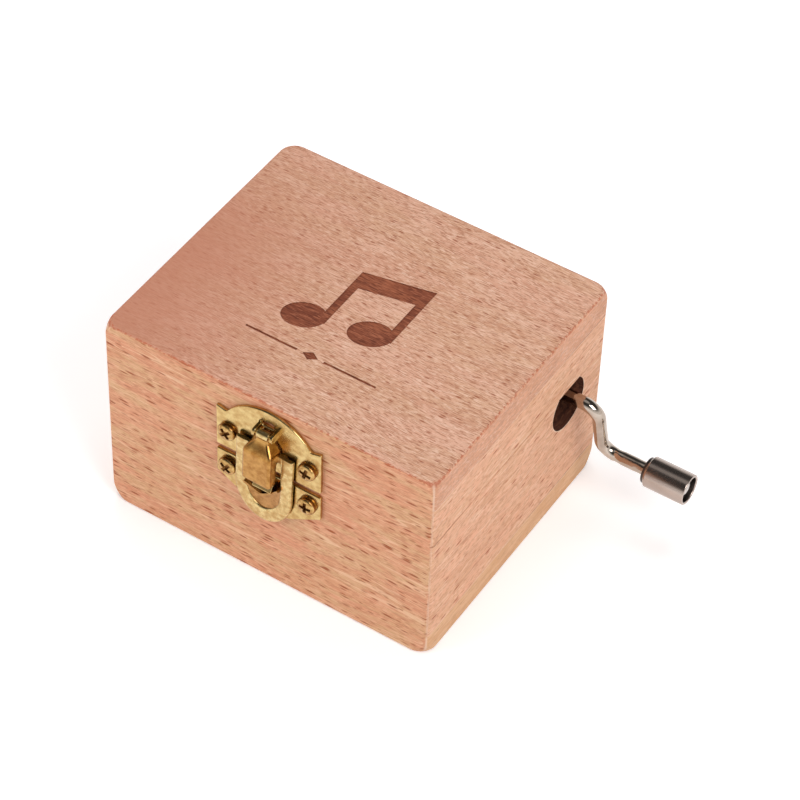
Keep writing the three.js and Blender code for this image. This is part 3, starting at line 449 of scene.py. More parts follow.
def stretched(place, along, across):
    """Coordinates whose unit is long along the first axis and short across it."""
    scale = (1 / along, 1 / across, 1 / across)
    return node("ShaderNodeMapping", {"Vector": place, "Scale": scale}).outputs["Vector"]


def noise(place, detail=2.0, roughness=0.5):
    inputs = {"Vector": place, "Scale": 1.0, "Detail": detail, "Roughness": roughness}
    return node("ShaderNodeTexNoise", inputs).outputs["Fac"]


def spots(place, radius, share):
    """Lens shaped spots, one at most in each cell, on about that share of the cells."""
    cells = node("ShaderNodeTexVoronoi", {"Vector": place, "Scale": 1.0, "Randomness": 1.0})
    pick = node("ShaderNodeSeparateColor", {"Color": cells.outputs["Color"]}).outputs["Red"]
    size = ramp(pick, 1 - share, 1 - 0.5 * share, 0.0, radius)
    inputs = {"Value": cells.outputs["Distance"], "From Min": size, "From Max": masked(size, SPOT_CORE)}
    spot = node("ShaderNodeMapRange", inputs).outputs["Result"]
    return math_node("MULTIPLY", spot, math_node("GREATER_THAN", size, radius * SPOT_LEAST), clamp=True)


# Wood
SPOT_CORE, SPOT_LEAST = 0.5, 0.08
MARK_SHIFT = (7.3, 3.1, 5.7)
WANDER_LENGTH, WANDER_WIDTH, WANDER_REACH = 26.0, 14.0, 2.4
WOOD_RELIEF, WOOD_BUMP = 0.03, 0.5
FACE_START, FACE_FULL = 0.6, 0.8
PATCH_START, PATCH_FULL = 0.42, 0.58
SHEEN_LENGTH, SHEEN_WIDTH = 14.0, 0.4

RUBBED_TONE = srgb(184, 100, 68)
DARKER_TONE = srgb(190, 126, 100)
# Pale tone of the glue lines and the notch's edge, and of the painted highlight down the upright corners
PALE_AND_HIGHLIGHT_TONE = srgb(246, 214, 188)
JOINT_TONE = srgb(142, 78, 56)
# Painted shade in the seam under the lid
SEAM_SHADE_TONE = srgb(84, 48, 34)

# A look has two ground colours and the size of their patches, then any number of marks of three kinds. A streak is
# a noise with its length along the grain, its width across it and the range of its values that shows. A line is the
# thin stretch of such a noise about its middle value, on either side. A fleck is a lens shaped spot in cells of that
# length and width, with its radius in the cell and its share of the cells. Each ends with how strongly it shows and
# its colour. Colours are in picture levels.
Look = namedtuple("Look", "first second patch marks")
TOP_LOOK = Look((216, 166, 140), (210, 163, 133), (22.0, 7.0), (
    ("streak", 60.0, 1.8, 0.46, 0.62, 0.35, (198, 140, 112)),
    ("streak", 10.0, 3.0, 0.5, 0.64, 0.4, (228, 184, 160)),
    ("streak", 12.0, 0.3, 0.48, 0.64, 0.35, (184, 132, 104)),
    ("streak", 1.5, 0.16, 0.51, 0.6, 0.8, (170, 112, 82)),
    ("streak", 1.3, 0.16, 0.53, 0.63, 0.5, (240, 206, 182)),
    ("fleck", 2.2, 0.55, 0.34, 0.4, 0.8, (150, 80, 50)),
))
FRONT_LOOK = Look((223, 160, 124), (219, 170, 128), (12.0, 3.5), (
    ("streak", 30.0, 2.0, 0.5, 0.62, 0.45, (222, 148, 114)),
    ("streak", 5.0, 1.0, 0.5, 0.62, 0.5, (208, 138, 104)),
    ("streak", 1.4, 0.22, 0.48, 0.62, 0.5, (188, 124, 86)),
    ("streak", 1.6, 0.24, 0.52, 0.64, 0.45, (240, 192, 156)),
    ("line", 70.0, 2.6, 0.012, 0.004, 0.5, (246, 206, 168)),
    ("line", 40.0, 2.2, 0.008, 0.003, 0.4, (190, 122, 88)),
    ("fleck", 4.0, 0.82, 0.35, 0.72, 0.88, (156, 70, 24)),
    ("fleck", 2.8, 0.68, 0.31, 0.65, 0.75, (166, 84, 38)),
))
SIDE_LOOK = Look((234, 178, 143), (228, 174, 137), (14.0, 5.0), (
    ("streak", 6.0, 2.5, 0.5, 0.62, 0.5, (238, 176, 142)),
    ("streak", 14.0, 2.0, 0.5, 0.64, 0.5, (214, 154, 118)),
    ("streak", 5.0, 0.7, 0.52, 0.66, 0.5, (248, 206, 174)),
    ("streak", 1.2, 0.34, 0.5, 0.62, 0.5, (194, 130, 96)),
    ("streak", 1.4, 0.4, 0.52, 0.66, 0.3, (244, 204, 174)),
    ("line", 60.0, 3.2, 0.009, 0.003, 0.5, (194, 126, 94)),
    ("fleck", 2.4, 0.7, 0.3, 0.45, 0.7, (192, 108, 70)),
    ("fleck", 3.4, 0.8, 0.34, 0.22, 0.9, (176, 82, 44)),
))
END_LOOK = Look((228, 168, 134), (218, 158, 124), (5.0, 1.6), (
    ("streak", 12.0, 0.35, 0.48, 0.62, 0.4, (188, 136, 110)),
    ("streak", 0.8, 0.3, 0.5, 0.62, 0.45, (182, 130, 106)),
    ("streak", 1.0, 0.3, 0.52, 0.66, 0.5, (236, 196, 172)),
))
FOOT_END_LOOK = Look((232, 184, 142), (226, 174, 130), (8.0, 2.0), (
    ("streak", 6.0, 0.5, 0.5, 0.64, 0.4, (204, 152, 112)),
    ("streak", 1.4, 0.3, 0.52, 0.64, 0.4, (200, 144, 106)),
    ("fleck", 2.4, 0.7, 0.26, 0.3, 0.6, (178, 114, 80)),
))
BURN_LOOK = Look((146, 82, 56), (130, 70, 48), (14.0, 4.0), (
    ("streak", 60.0, 1.6, 0.46, 0.64, 0.5, (110, 54, 36)),
    ("streak", 1.6, 0.2, 0.48, 0.64, 0.7, (86, 40, 27)),
    ("streak", 1.6, 0.2, 0.52, 0.66, 0.55, (180, 110, 80)),
))
CHAR_LOOK = Look((96, 54, 36), (74, 38, 24), (8.0, 2.0), (
    ("streak", 8.0, 0.6, 0.46, 0.62, 0.6, (46, 22, 14)),
    ("streak", 2.0, 0.4, 0.52, 0.68, 0.5, (132, 82, 56)),
))


def wood_colour(grain, look):
    """The colour of a cut of wood, and its dark marks apart from the flecks as a height."""
    first, second = srgb(*look.first), srgb(*look.second)
    patches = noise(stretched(grain, *look.patch))
    colour = blend_colour(ramp(patches, PATCH_START, PATCH_FULL), first, second)
    height = 0.0
    for count, (kind, along, across, start, end, depth, levels) in enumerate(look.marks):
        shifted = vector_node("ADD", grain, tuple(count * shift for shift in MARK_SHIFT))
        place = stretched(shifted, along, across)
        if kind == "fleck":
            mask = masked(spots(place, start, end), depth)
        elif kind == "line":
            mask = ramp(off_level(noise(place, 1.0), 0.5), start, end, 0.0, depth)
        else:
            mask = ramp(noise(place), start, end, 0.0, depth)
        tone = srgb(*levels)
        colour = blend_colour(mask, colour, tone)
        if kind != "fleck" and sum(tone) < sum(first):
            height = math_node("SUBTRACT", height, mask)
    return colour, height


def beech(name, look, turn=0.0, offset=(0.0, 0.0, 0.0), front_look=None, end_look=None, details=(), gloss=0.6):
    """Bare sanded beech whose grain runs along X, or along Y when turned by 90 degrees.

    The details are functions of the tree, the colour, the place in millimetres as X, Y and Z, and the way that the
    surface faces, also as X, Y and Z without signs. Each gives the colour with its own tone on it.
    """
    material, tree, shader = new_material(name, Roughness=gloss, Specular_IOR_Level=0.3)
    place = millimetres(tree, turn, offset)
    inputs = {"Vector": stretched(place, WANDER_LENGTH, WANDER_WIDTH), "Scale": 1.0, "Detail": 1.0}
    wander = node("ShaderNodeTexNoise", inputs)
    drift = vector_node("MULTIPLY", wander.outputs["Color"], (0.0, WANDER_REACH, WANDER_REACH))
    grain = vector_node("ADD", place, drift)
    colour, height = wood_colour(grain, look)

    facing = [math_node("ABSOLUTE", part) for part in axes(coordinates(tree, "Normal"))]
    if front_look:
        front_colour, front_height = wood_colour(grain, front_look)
        share = ramp(facing[1], FACE_START, FACE_FULL)
        colour = blend_colour(share, colour, front_colour)
        height = node("ShaderNodeMix", {0: share, 2: height, 3: front_height}).outputs[0]
    if end_look:
        end_colour, _ = wood_colour(millimetres(tree, turn + 90, offset), end_look)
        colour = blend_colour(ramp(facing[0], FACE_START, FACE_FULL), colour, end_colour)
    spot = axes(millimetres(tree))
    for detail in details:
        colour = detail(tree, colour, spot, facing)
    link(colour, shader.inputs["Base Color"])
    add_bump(shader, height, WOOD_BUMP, WOOD_RELIEF)
    sheen = noise(stretched(grain, SHEEN_LENGTH, SHEEN_WIDTH))
    link(ramp(sheen, 0.3, 0.7, gloss - 0.06, gloss + 0.08), shader.inputs["Roughness"])
    return material


def rough_edge(tree, size, low=0.35, high=0.6):
    """An uneven mask that breaks up marks, wear and painted highlights among them, its stretches about that many
    millimetres long.
    """
    return ramp(noise(stretched(millimetres(tree), size, size)), low, high)


def rubbed_rim(tree, colour, place, facing):
    """The reddish wear along the rim of the top, broken up along the grain, and its darker left end."""
    darker = masked(ramp(place[0], 4.0, -34.0, 0.0, 0.85), ramp(place[1], 24.0, -4.0, 0.3, 1.0))
    colour = blend_colour(masked(darker, ramp(facing[2], 0.4, 0.8)), colour, DARKER_TONE)
    rim = masked(ramp(facing[2], 0.25, 0.5), ramp(facing[2], 1.0, 0.9))
    return blend_colour(masked(rim, rough_edge(tree, 0.6, 0.44, 0.58), 0.75), colour, RUBBED_TONE)


def painted_corner_highlight(tree, colour, place, facing):
    """Painted highlight: the pale line down each upright corner, where light catches the rounding."""
    corner = ramp(math_node("MINIMUM", facing[0], facing[1]), 0.5, 0.66)
    return blend_colour(masked(corner, rough_edge(tree, 4.0, 0.25, 0.5), 0.6), colour, PALE_AND_HIGHLIGHT_TONE)


def end_joint(level):
    """A pale glue line between two boards on the end faces, with a dark stretch towards the back."""
    def add(tree, colour, place, facing):
        on_end = ramp(facing[0], 0.8, 0.9)
        line = masked(near_level(place[2], level, 0.05, 0.12), on_end)
        dark = masked(near_level(place[2], level + 0.16, 0.04, 0.1), on_end,
                      ramp(place[1], -4.0, 12.0), rough_edge(tree, 5.0, 0.3, 0.6), 0.7)
        colour = blend_colour(masked(line, 0.55), colour, PALE_AND_HIGHLIGHT_TONE)
        return blend_colour(dark, colour, JOINT_TONE)
    return add


def painted_seam_shade(tree, colour, place, facing):
    """Painted shade in the seam under the lid on the end faces, darkest at the front corner."""
    on_end = ramp(facing[0], 0.5, 0.8)
    middle = (mm_box("base_right_wall")[1].z + mm_box("lid_right_wall")[0].z) / 2
    line = masked(near_level(place[2], middle, 0.1, 0.08), on_end, ramp(place[1], -12.0, -26.0))
    return blend_colour(line, colour, SEAM_SHADE_TONE)


def notch_ring(tree, colour, place, facing):
    """A pale ring along the edge of the round notch, broken up along its length."""
    across = math_node("SUBTRACT", place[1], CRANK_AXIS.y + NOTCH_SHIFT)
    up = math_node("SUBTRACT", place[2], CRANK_AXIS.z - NOTCH_DROP)
    away = math_node("SQRT", math_node("ADD", masked(across, across), masked(up, up)))
    ring = masked(near_level(away, NOTCH_RADIUS, 0.14, 0.12), ramp(facing[0], 0.6, 0.9),
                  ramp(place[0], 0.0, 1.0))
    return blend_colour(masked(ring, rough_edge(tree, 3.0, 0.3, 0.5), 0.7), colour, PALE_AND_HIGHLIGHT_TONE)


CRANK_AXIS = joint_place("crank_turn")
FOOT_Z = mm_box("bottom_panel")[1].z
TOP_Z = mm_box("top_panel")[0].z

FRONT_GRAIN, SIDE_GRAIN, BOTTOM_GRAIN = (11.0, 3.0, 5.0), (5.0, 17.0, 2.5), (31.0, 12.0, 4.0)
BEECH_TOP = beech("beech_top", TOP_LOOK, offset=FRONT_GRAIN, front_look=FRONT_LOOK, end_look=END_LOOK,
                  details=(rubbed_rim, painted_corner_highlight, end_joint(TOP_Z)))
BEECH_FRONT = beech("beech_front", FRONT_LOOK, offset=FRONT_GRAIN, details=(painted_corner_highlight,))
BEECH_SIDE = beech("beech_side", SIDE_LOOK, turn=90, offset=SIDE_GRAIN,
                   details=(painted_corner_highlight, end_joint(TOP_Z), end_joint(FOOT_Z), painted_seam_shade, notch_ring))
BEECH_BOTTOM = beech("beech_bottom", FRONT_LOOK, offset=BOTTOM_GRAIN, end_look=FOOT_END_LOOK,
                     details=(painted_corner_highlight, end_joint(FOOT_Z)))
BURNT = beech("burnt_beech", BURN_LOOK, offset=FRONT_GRAIN, gloss=0.7)
CHARRED = beech("charred_beech", CHAR_LOOK, turn=90, offset=SIDE_GRAIN, gloss=0.75)


# Metal
DENT_SIZE = 0.9
METAL_BUMP = 0.4


def metal(name, first, second, roughness, spread=0.08, scratch=(2.5, 0.05), turn=0.0, relief=0.004, cloud=3.0,
          dents=0.0, metallic=1.0):
    """Worked metal: a slow change of tone, fine scratches along one direction and shallow dents."""
    material, tree, shader = new_material(name, Metallic=metallic, Roughness=roughness)
    place = millimetres(tree, turn)
    clouds = noise(stretched(place, cloud, cloud), 3.0, 0.6)
    scratches = noise(stretched(place, *scratch), 2.0, 0.6)
    colour = blend_colour(ramp(clouds, 0.3, 0.7), srgb(*first), srgb(*second))
    link(colour, shader.inputs["Base Color"])
    rough = math_node("ADD", ramp(clouds, 0.25, 0.75, roughness - spread, roughness + spread),
                      ramp(scratches, 0.3, 0.8, -spread / 3, spread / 3))
    link(rough, shader.inputs["Roughness"])
    height = scratches
    if dents:
        dimples = noise(stretched(place, DENT_SIZE, DENT_SIZE))
        height = math_node("ADD", height, masked(dimples, dents))
    add_bump(shader, height, METAL_BUMP, relief)
    return material


BRASS = metal("polished_brass", (212, 186, 128), (184, 146, 88), 0.2, cloud=1.4, dents=1.2, relief=0.02)
RIM_BRASS = metal("rim_brass", (218, 194, 138), (184, 146, 90), 0.3, 0.07, cloud=1.2, dents=0.8, relief=0.014)
# The hood's darker brass is a painted dark reflection on the same brass as the rim
HOOD_DARK_REFLECTION_BRASS = metal("hood_painted_reflection_brass", (190, 144, 82), (160, 110, 54), 0.2, 0.07, cloud=1.2, dents=0.8, relief=0.014)
# The dish's darker brass is painted shade in its hollow
DISH_SHADE_BRASS = metal("dish_painted_shade_brass", (184, 138, 86), (146, 102, 58), 0.2, 0.07, cloud=1.4, dents=0.8, relief=0.014)
SCREW_BRASS = metal("screw_brass", (208, 172, 112), (160, 116, 62), 0.26, cloud=0.8, dents=1.2, relief=0.014)
# Darker brass on the upright sides of screw heads: painted shade and a painted dark reflection
SCREW_SIDE_SHADE = metal("screw_side_painted_shade", (170, 112, 56), (96, 58, 28), 0.3, cloud=0.8)
# Darker brass in the cross recesses: painted shade
RECESS_SHADE = metal("recess_painted_shade", (150, 104, 56), (112, 72, 38), 0.5)
NICKEL = metal("bright_nickel", (192, 178, 165), (172, 156, 141), 0.11, 0.04, scratch=(3.0, 0.2))
PEENED = metal("peened_nickel", (236, 228, 222), (216, 206, 198), 0.5, 0.06, dents=1.0, relief=0.01, metallic=0.3)
BRUSHED = metal("brushed_steel", (186, 170, 160), (174, 158, 148), 0.22, 0.04, scratch=(3.0, 0.06), cloud=9.0,
                relief=0.003)
# Dark steel inside the knob's recess and bore: painted shade
BORE_SHADE_STEEL = metal("bore_painted_shade", (104, 96, 92), (76, 70, 66), 0.35, 0.05)
ZINC = metal("plated_zinc", (206, 207, 210), (184, 186, 190), 0.46, dents=0.7, relief=0.012)
COMB_STEEL = metal("comb_steel", (176, 176, 178), (150, 152, 158), 0.26, 0.07, scratch=(4.0, 0.08))
DRUM_BRASS = metal("drum_brass", (214, 186, 120), (196, 164, 98), 0.28, 0.06, scratch=(2.0, 0.06), turn=90)
SCREW_STEEL = metal("screw_steel", (196, 196, 196), (172, 172, 174), 0.3)


# Box panels and walls, with the corners in the order front left, front right, back right, back left
PANEL_HIGH = mm_box("bottom_panel")[1]
HALF_X, HALF_Y = PANEL_HIGH.x, PANEL_HIGH.y
WALL_SIDES = ("front", "right", "back", "left")


def corner_place(corner, inset):
    """The point at the same inset from both sides of a corner."""
    sign_x = 1 if corner in (1, 2) else -1
    sign_y = 1 if corner >= 2 else -1
    return sign_x * (HALF_X - inset), sign_y * (HALF_Y - inset)


def corner_arc(corner, start, end, inset=0.0, least=0.0, steps=8):
    """Points about one corner of the box, from one angle to another in degrees."""
    radius = max(ROUND_CORNER_RADIUS if corner == ROUND_CORNER else CORNER_RADIUS, least)
    centre_x, centre_y = corner_place(corner, radius)
    turns = [math.radians(angle) for angle in angles(start, end - start, steps)]
    return [(centre_x + (radius - inset) * math.cos(turn), centre_y + (radius - inset) * math.sin(turn))
            for turn in turns]


def panel_ring(inset, z, least=0.0):
    return [(x, y, z) for corner in range(4)
            for x, y in corner_arc(corner, 180 + 90 * corner, 270 + 90 * corner, inset, least)]


def panel(name, plain, rim, edge, corner, depth, steps=8):
    """A board from its plain face to its rounded rim, its corners sanded rounder and rounder towards the rim."""
    side = 1 if rim > plain else -1
    rings = [panel_ring(WALL_EASE, plain), panel_ring(0, plain + side * WALL_EASE)]
    stretch = [(0, depth + (edge - depth) * step / steps) for step in range(steps)]
    stretch += [(edge * (1 - math.cos(angle)), edge * (1 - math.sin(angle)))
                for angle in angles(0, math.pi / 2, steps)]
    for inset, below in stretch:
        near = max(1 - below / depth, 0)
        rings.append(panel_ring(inset, rim - side * below, CORNER_RADIUS + (corner - CORNER_RADIUS) * near ** 2))
    return loft(name, rings)


def wall(name, side, low, high):
    """A mitred wall, from the front on, with its outer corners rounded up to the mitre."""
    after = (side + 1) % 4
    outline = corner_arc(side, 225 + 90 * side, 270 + 90 * side)
    outline += corner_arc(after, 270 + 90 * side, 315 + 90 * side)
    outline += [corner_place(corner, WALL_THICKNESS) for corner in (after, side)]
    return prism(name, outline, low, high)


def notch_cutter():
    """The round hole for the crank, from outside the right wall to inside it."""
    length = 3 * WALL_THICKNESS
    cutter = revolve("notch", [(0, 0), (NOTCH_RADIUS, 0), (NOTCH_RADIUS, length), (0, length)], 64)
    cutter.data.materials.append(CHARRED)
    return laid_along_x(cutter, (HALF_X - 2 * WALL_THICKNESS, CRANK_AXIS.y + NOTCH_SHIFT, CRANK_AXIS.z - NOTCH_DROP))


def build_walls():
    for side, name in enumerate(WALL_SIDES):
        material = BEECH_SIDE if side % 2 else BEECH_FRONT
        close = OPEN_SEAM_CLOSE if name == "right" else SEAM_CLOSE
        base_low, base_high = mm_box(f"base_{name}_wall")
        lid_low, lid_high = mm_box(f"lid_{name}_wall")
        base = wall(f"base_{name}_board", side, base_low.z, base_high.z + close)
        base.data.materials.append(material)
        if name == "right":
            carve(base, notch_cutter())
        place_piece(soften(base, WALL_EASE, segments=2), "base", "beech_wall", [f"base_{name}_wall"])
        lid = wall(f"lid_{name}_board", side, lid_low.z - close, lid_high.z)
        place_piece(soften(lid, WALL_EASE, segments=2), "lid", "beech_wall", [f"lid_{name}_wall"], material)


def bed_screw_pocket(count):
    """The hole for a screw from below, wider at its mouth."""
    low, high = mm_box(f"bed_screw_{count}")
    middle = (low + high) / 2
    head = (high.x - low.x) / 2 + POCKET_CLEARANCE
    shift = Matrix.Translation((middle.x, middle.y, 0))
    return [moved(revolve(name, [(0, -1), (radius, -1), (radius, top), (0, top)], sides), shift)
            for name, radius, top, sides in (("pocket", head, POCKET_DEPTH, 40),
                                             ("hole", POCKET_HOLE, PANEL_HIGH.z + 1, 32))]


def box_outline(left, right, low, high):
    return [(left, low), (right, low), (right, high), (left, high)]


def mirrored(points):
    """The points of the other half of an outline, in the order that goes on with it."""
    return [(-x, y) for x, y in reversed(points)]


def engraving_cutters(top_z):
    """Cutters for the mark, each a hair deeper than the last so that no two floors lie in one plane."""
    outlines = []
    tilt = math.radians(HEAD_TILT)
    for x, y in NOTE_HEADS:
        oval = [(HEAD_LONG * math.cos(angle), HEAD_SHORT * math.sin(angle))
                for angle in angles(0, 2 * math.pi, 48)[:-1]]
        outlines.append([(x + u * math.cos(tilt) - v * math.sin(tilt), y + u * math.sin(tilt) + v * math.cos(tilt))
                         for u, v in oval])
    left, right = (x + HEAD_LONG - STEM_WIDTH for x, _ in NOTE_HEADS)
    foot_left, foot_right = (y for _, y in NOTE_HEADS)
    slope = (STEM_TOPS[1] - STEM_TOPS[0]) / (right - left)
    top_right = STEM_TOPS[1] + slope * STEM_WIDTH
    outlines.append([(left, foot_left), (left + STEM_WIDTH, foot_left),
                     (left + STEM_WIDTH, STEM_TOPS[0] + slope * STEM_WIDTH - BEAM_DROP),
                     (right, STEM_TOPS[1] - BEAM_DROP), (right, foot_right), (right + STEM_WIDTH, foot_right),
                     (right + STEM_WIDTH, top_right), (left, STEM_TOPS[0])])
    for side in (-1, 1):
        ends = sorted((side * RULE_GAP, side * RULE_HALF))
        outlines.append(box_outline(*ends, RULE_Y - RULE_WIDTH / 2, RULE_Y + RULE_WIDTH / 2))
    wide, tall = LOZENGE
    outlines.append([(-wide, RULE_Y), (0, RULE_Y - tall), (wide, RULE_Y), (0, RULE_Y + tall)])
    cutters = []
    for count, outline in enumerate(outlines):
        cutter = prism(f"burn_{count}", outline, top_z - BURN_DEPTH - count * BURN_STEP, top_z + 1)
        cutter.data.materials.append(BURNT)
        cutters.append(cutter)
    return cutters


def build_panels():
    low, high = mm_box("bottom_panel")
    bottom = panel("bottom_board", high.z, low.z, BOTTOM_EDGE_RADIUS, BOTTOM_CORNER_RADIUS, BOTTOM_CORNER_DEPTH)
    for count in (1, 2, 3):
        carve(bottom, *bed_screw_pocket(count))
    place_piece(soften(bottom, 0), "base", "beech_wall", ["bottom_panel"], BEECH_BOTTOM)
    low, high = mm_box("top_panel")
    top = panel("top_board", low.z, high.z, TOP_EDGE_RADIUS, TOP_CORNER_RADIUS, TOP_CORNER_DEPTH)
    top.data.materials.append(BEECH_TOP)
    carve(top, *engraving_cutters(high.z))
    place_piece(soften(top, 0), "lid", "beech_top", ["top_panel"])


# Screws
def cross_cutters(reach, width, depth, top):
    """Two tapered bars that make a cross recess."""
    bars = []
    for turn in (0, 90):
        rings = []
        for share, z in ((RECESS_TAPER, top - depth), (1.0, top + RECESS_CLEAR)):
            x, y = reach * share, width * (RECESS_NARROW + (1 - RECESS_NARROW) * share) / 2
            rings.append([(-x, -y, z), (x, -y, z), (x, y, z), (-x, y, z)])
        bars.append(moved(loft("bar", rings), Matrix.Rotation(math.radians(turn), 4, "Z")))
    return bars


def screw_mesh(name, head, rise, shank, length, material, side_shade_material, recess_shade_material):
    """A pan head screw with a cross recess, its seat at height zero and its head up."""
    profile = [(0, -length), (shank * 0.3, -length + shank * 0.4), (shank, -length + shank * 1.6), (shank, 0),
               (head * 0.97, 0), (head, rise * 0.1)]
    profile += [(head * across, rise * up) for across, up in SCREW_DOME]
    screw = revolve(name, profile, 36)
    screw.data.materials.append(material)
    cutters = cross_cutters(head * RECESS_REACH, head * RECESS_WIDTH, rise * RECESS_DEPTH, rise)
    # The cross recess takes the darker brass of the recess material: painted shade
    for cutter in cutters:
        cutter.data.materials.append(recess_shade_material)
    carve(screw, *cutters)
    soften(screw, head * 0.02, segments=2, angle=40)
    # The head's upright sides take the dark side material: painted shade and a painted dark reflection
    screw.data.materials.append(side_shade_material)
    for polygon in screw.data.polygons:
        if polygon.material_index == 0 and abs(polygon.normal.z) < SIDE_SLOPE and polygon.center.z > 0:
            polygon.material_index = 2
    return screw


def place_screws(nodes, body, slot, materials, direction, head, rise, shank, length, spin=0.0):
    """One screw for each named node, along a direction, each turned a little differently."""
    turn = Vector((0, 0, 1)).rotation_difference(direction).to_matrix().to_4x4()
    axis = [abs(part) for part in direction].index(1)
    for count, name in enumerate(nodes):
        low, high = mm_box(name)
        middle = (low + high) / 2
        outer = high[axis] if direction[axis] > 0 else low[axis]
        middle[axis] = outer - direction[axis] * rise
        screw = screw_mesh(f"{name}_piece", head, rise, shank, length, *materials)
        twist = Matrix.Rotation(math.radians(spin + SCREW_TURN * count), 4, "Z")
        moved(screw, Matrix.Translation(middle) @ turn @ twist)
        place_piece(screw, body, slot, [name])


def build_screws():
    front, back, up, down = Vector((0, -1, 0)), Vector((0, 1, 0)), Vector((0, 0, 1)), Vector((0, 0, -1))
    brass, steel = (SCREW_BRASS, SCREW_SIDE_SHADE, RECESS_SHADE), (SCREW_STEEL,) * 3
    for part, body, spin in (("upper", "lid", 38), ("lower", "base", 52)):
        place_screws([f"latch_{part}_screw_{side}" for side in ("left", "right")], body, "brass", brass, front,
                     head=1.7, rise=1.1, shank=0.85, length=4.4, spin=spin)
    for side in ("left", "right"):
        for body in ("base", "lid"):
            place_screws([f"{side}_hinge_{body}_screw_{count}" for count in (1, 2)], body, "brass", brass, back,
                         head=1.1, rise=0.5, shank=0.55, length=3.8, spin=20)
    place_screws([f"foot_screw_{count}" for count in range(1, 7)], "base", "comb_steel", steel, up,
                 head=1.1, rise=0.8, shank=0.6, length=2.9)
    place_screws(["comb_screw_1", "comb_screw_2"], "base", "drum_brass", brass, up,
                 head=1.9, rise=1.2, shank=0.95, length=10.2, spin=15)
    place_screws([f"bed_screw_{count}" for count in (1, 2, 3)], "base", "comb_steel", steel, down,
                 head=2.2, rise=1.3, shank=1.1, length=6.2)


# Pieces that keep the CAD node's own shape, with softened edges: name, body, slot, material and softening
REFINED = (
    ("latch_pin", "lid", "brass", BRASS, 0.06),
    *((f"{side}_hinge_{part}", body, "brass", BRASS, width) for side in ("left", "right")
      for part, body, width in (("base_leaf", "base", 0.1), ("lid_leaf", "lid", 0.1), ("pin", "base", 0.06))),
    ("bedplate", "base", "plated_zinc", ZINC, 0.2),
    ("comb_block", "base", "plated_zinc", ZINC, 0.12),
    ("comb", "base", "comb_steel", COMB_STEEL, 0.04),
    *((name, "base", "plated_zinc", ZINC, 0.15)
      for name in ("front_post", "back_post", "inner_crank_bracket", "outer_crank_bracket")),
    ("cylinder", "cylinder", "drum_brass", DRUM_BRASS, 0.02),
    ("cylinder_arbor", "cylinder", "comb_steel", COMB_STEEL, 0.1),
    ("worm_wheel", "cylinder", "drum_brass", DRUM_BRASS, 0.05),
    ("worm", "crank", "comb_steel", COMB_STEEL, 0.05),
)


def build_refined():
    for name, body, slot, material, width in REFINED:
        piece = soften(copy_of_node(name, f"{name}_piece"), width, segments=2)
        place_piece(piece, body, slot, [name], material)


# Plates of the latch
PIVOT = joint_place("latch_swing")
SEAM_Z = mm_box("base_front_wall")[1].z
LATCH_SEAT = Matrix.Translation((PIVOT.x, -HALF_Y, SEAM_Z))


def seat_brass(obj, body, nodes=()):
    """Puts a piece on the front of the box that is drawn with X across the latch and Z above the seam."""
    place_piece(moved(obj, LATCH_SEAT), body, "brass", nodes, BRASS)


def plate_sheet(name, outline):
    """A flat sheet on the front of the box, from its (across, up) outline."""
    return moved(prism(name, outline, 0, PLATE_THICKNESS), Matrix.Rotation(math.pi / 2, 4, "X"))


def side_rings(outline, near, far):
    """Two rings across the latch from an outline of (out, up) points."""
    return [[(x, -out, up) for out, up in outline] for x in sorted((near, far))]


def build_upper_plate():
    rise = ARCH_APEX - HORN_HEIGHT + HORN_DIP
    radius = (ARCH_HALF_WIDTH ** 2 + rise ** 2) / (2 * rise)
    half = math.asin(ARCH_HALF_WIDTH / radius)
    horn = [(PLATE_HALF_WIDTH, HORN_HEIGHT), (ARCH_HALF_WIDTH + HORN_DIP, HORN_HEIGHT - HORN_DIP)]
    arch = [(radius * math.cos(angle), ARCH_APEX - radius + radius * math.sin(angle))
            for angle in angles(math.pi / 2 - half, 2 * half, 40)]
    foot = [(-PLATE_HALF_WIDTH, UPPER_LIFT), (PLATE_HALF_WIDTH, UPPER_LIFT)]
    plate = plate_sheet("latch_upper_sheet", foot + horn + arch + mirrored(horn))
    pivot_up = PIVOT.z - SEAM_Z
    low = pivot_up + SLOT_RISE
    opening = box_outline(-SLOT_HALF_WIDTH, SLOT_HALF_WIDTH, -SLOT_CLEAR - PLATE_THICKNESS, SLOT_CLEAR)
    carve(plate, prism("slot", opening, low, low + SLOT_HEIGHT))
    seat_brass(soften(plate, PLATE_ROLL, segments=4, angle=40), "lid", ["latch_upper_plate"])
    reach = -HALF_Y - PIVOT.y
    ear = [(PLATE_THICKNESS / 2, pivot_up - BARREL_RADIUS)]
    ear += [(reach + BARREL_RADIUS * math.cos(angle), pivot_up + BARREL_RADIUS * math.sin(angle))
            for angle in angles(-math.pi / 2, math.pi, 16)]
    ear.append((PLATE_THICKNESS / 2, pivot_up + BARREL_RADIUS))
    for side, name in ((-1, "left"), (1, "right")):
        near = side * (NECK_HALF_WIDTH + EAR_GAP)
        piece = loft(f"latch_{name}_ear", side_rings(ear, near, near + side * EAR_THICKNESS))
        seat_brass(soften(piece, JOINT_EDGE), "lid")


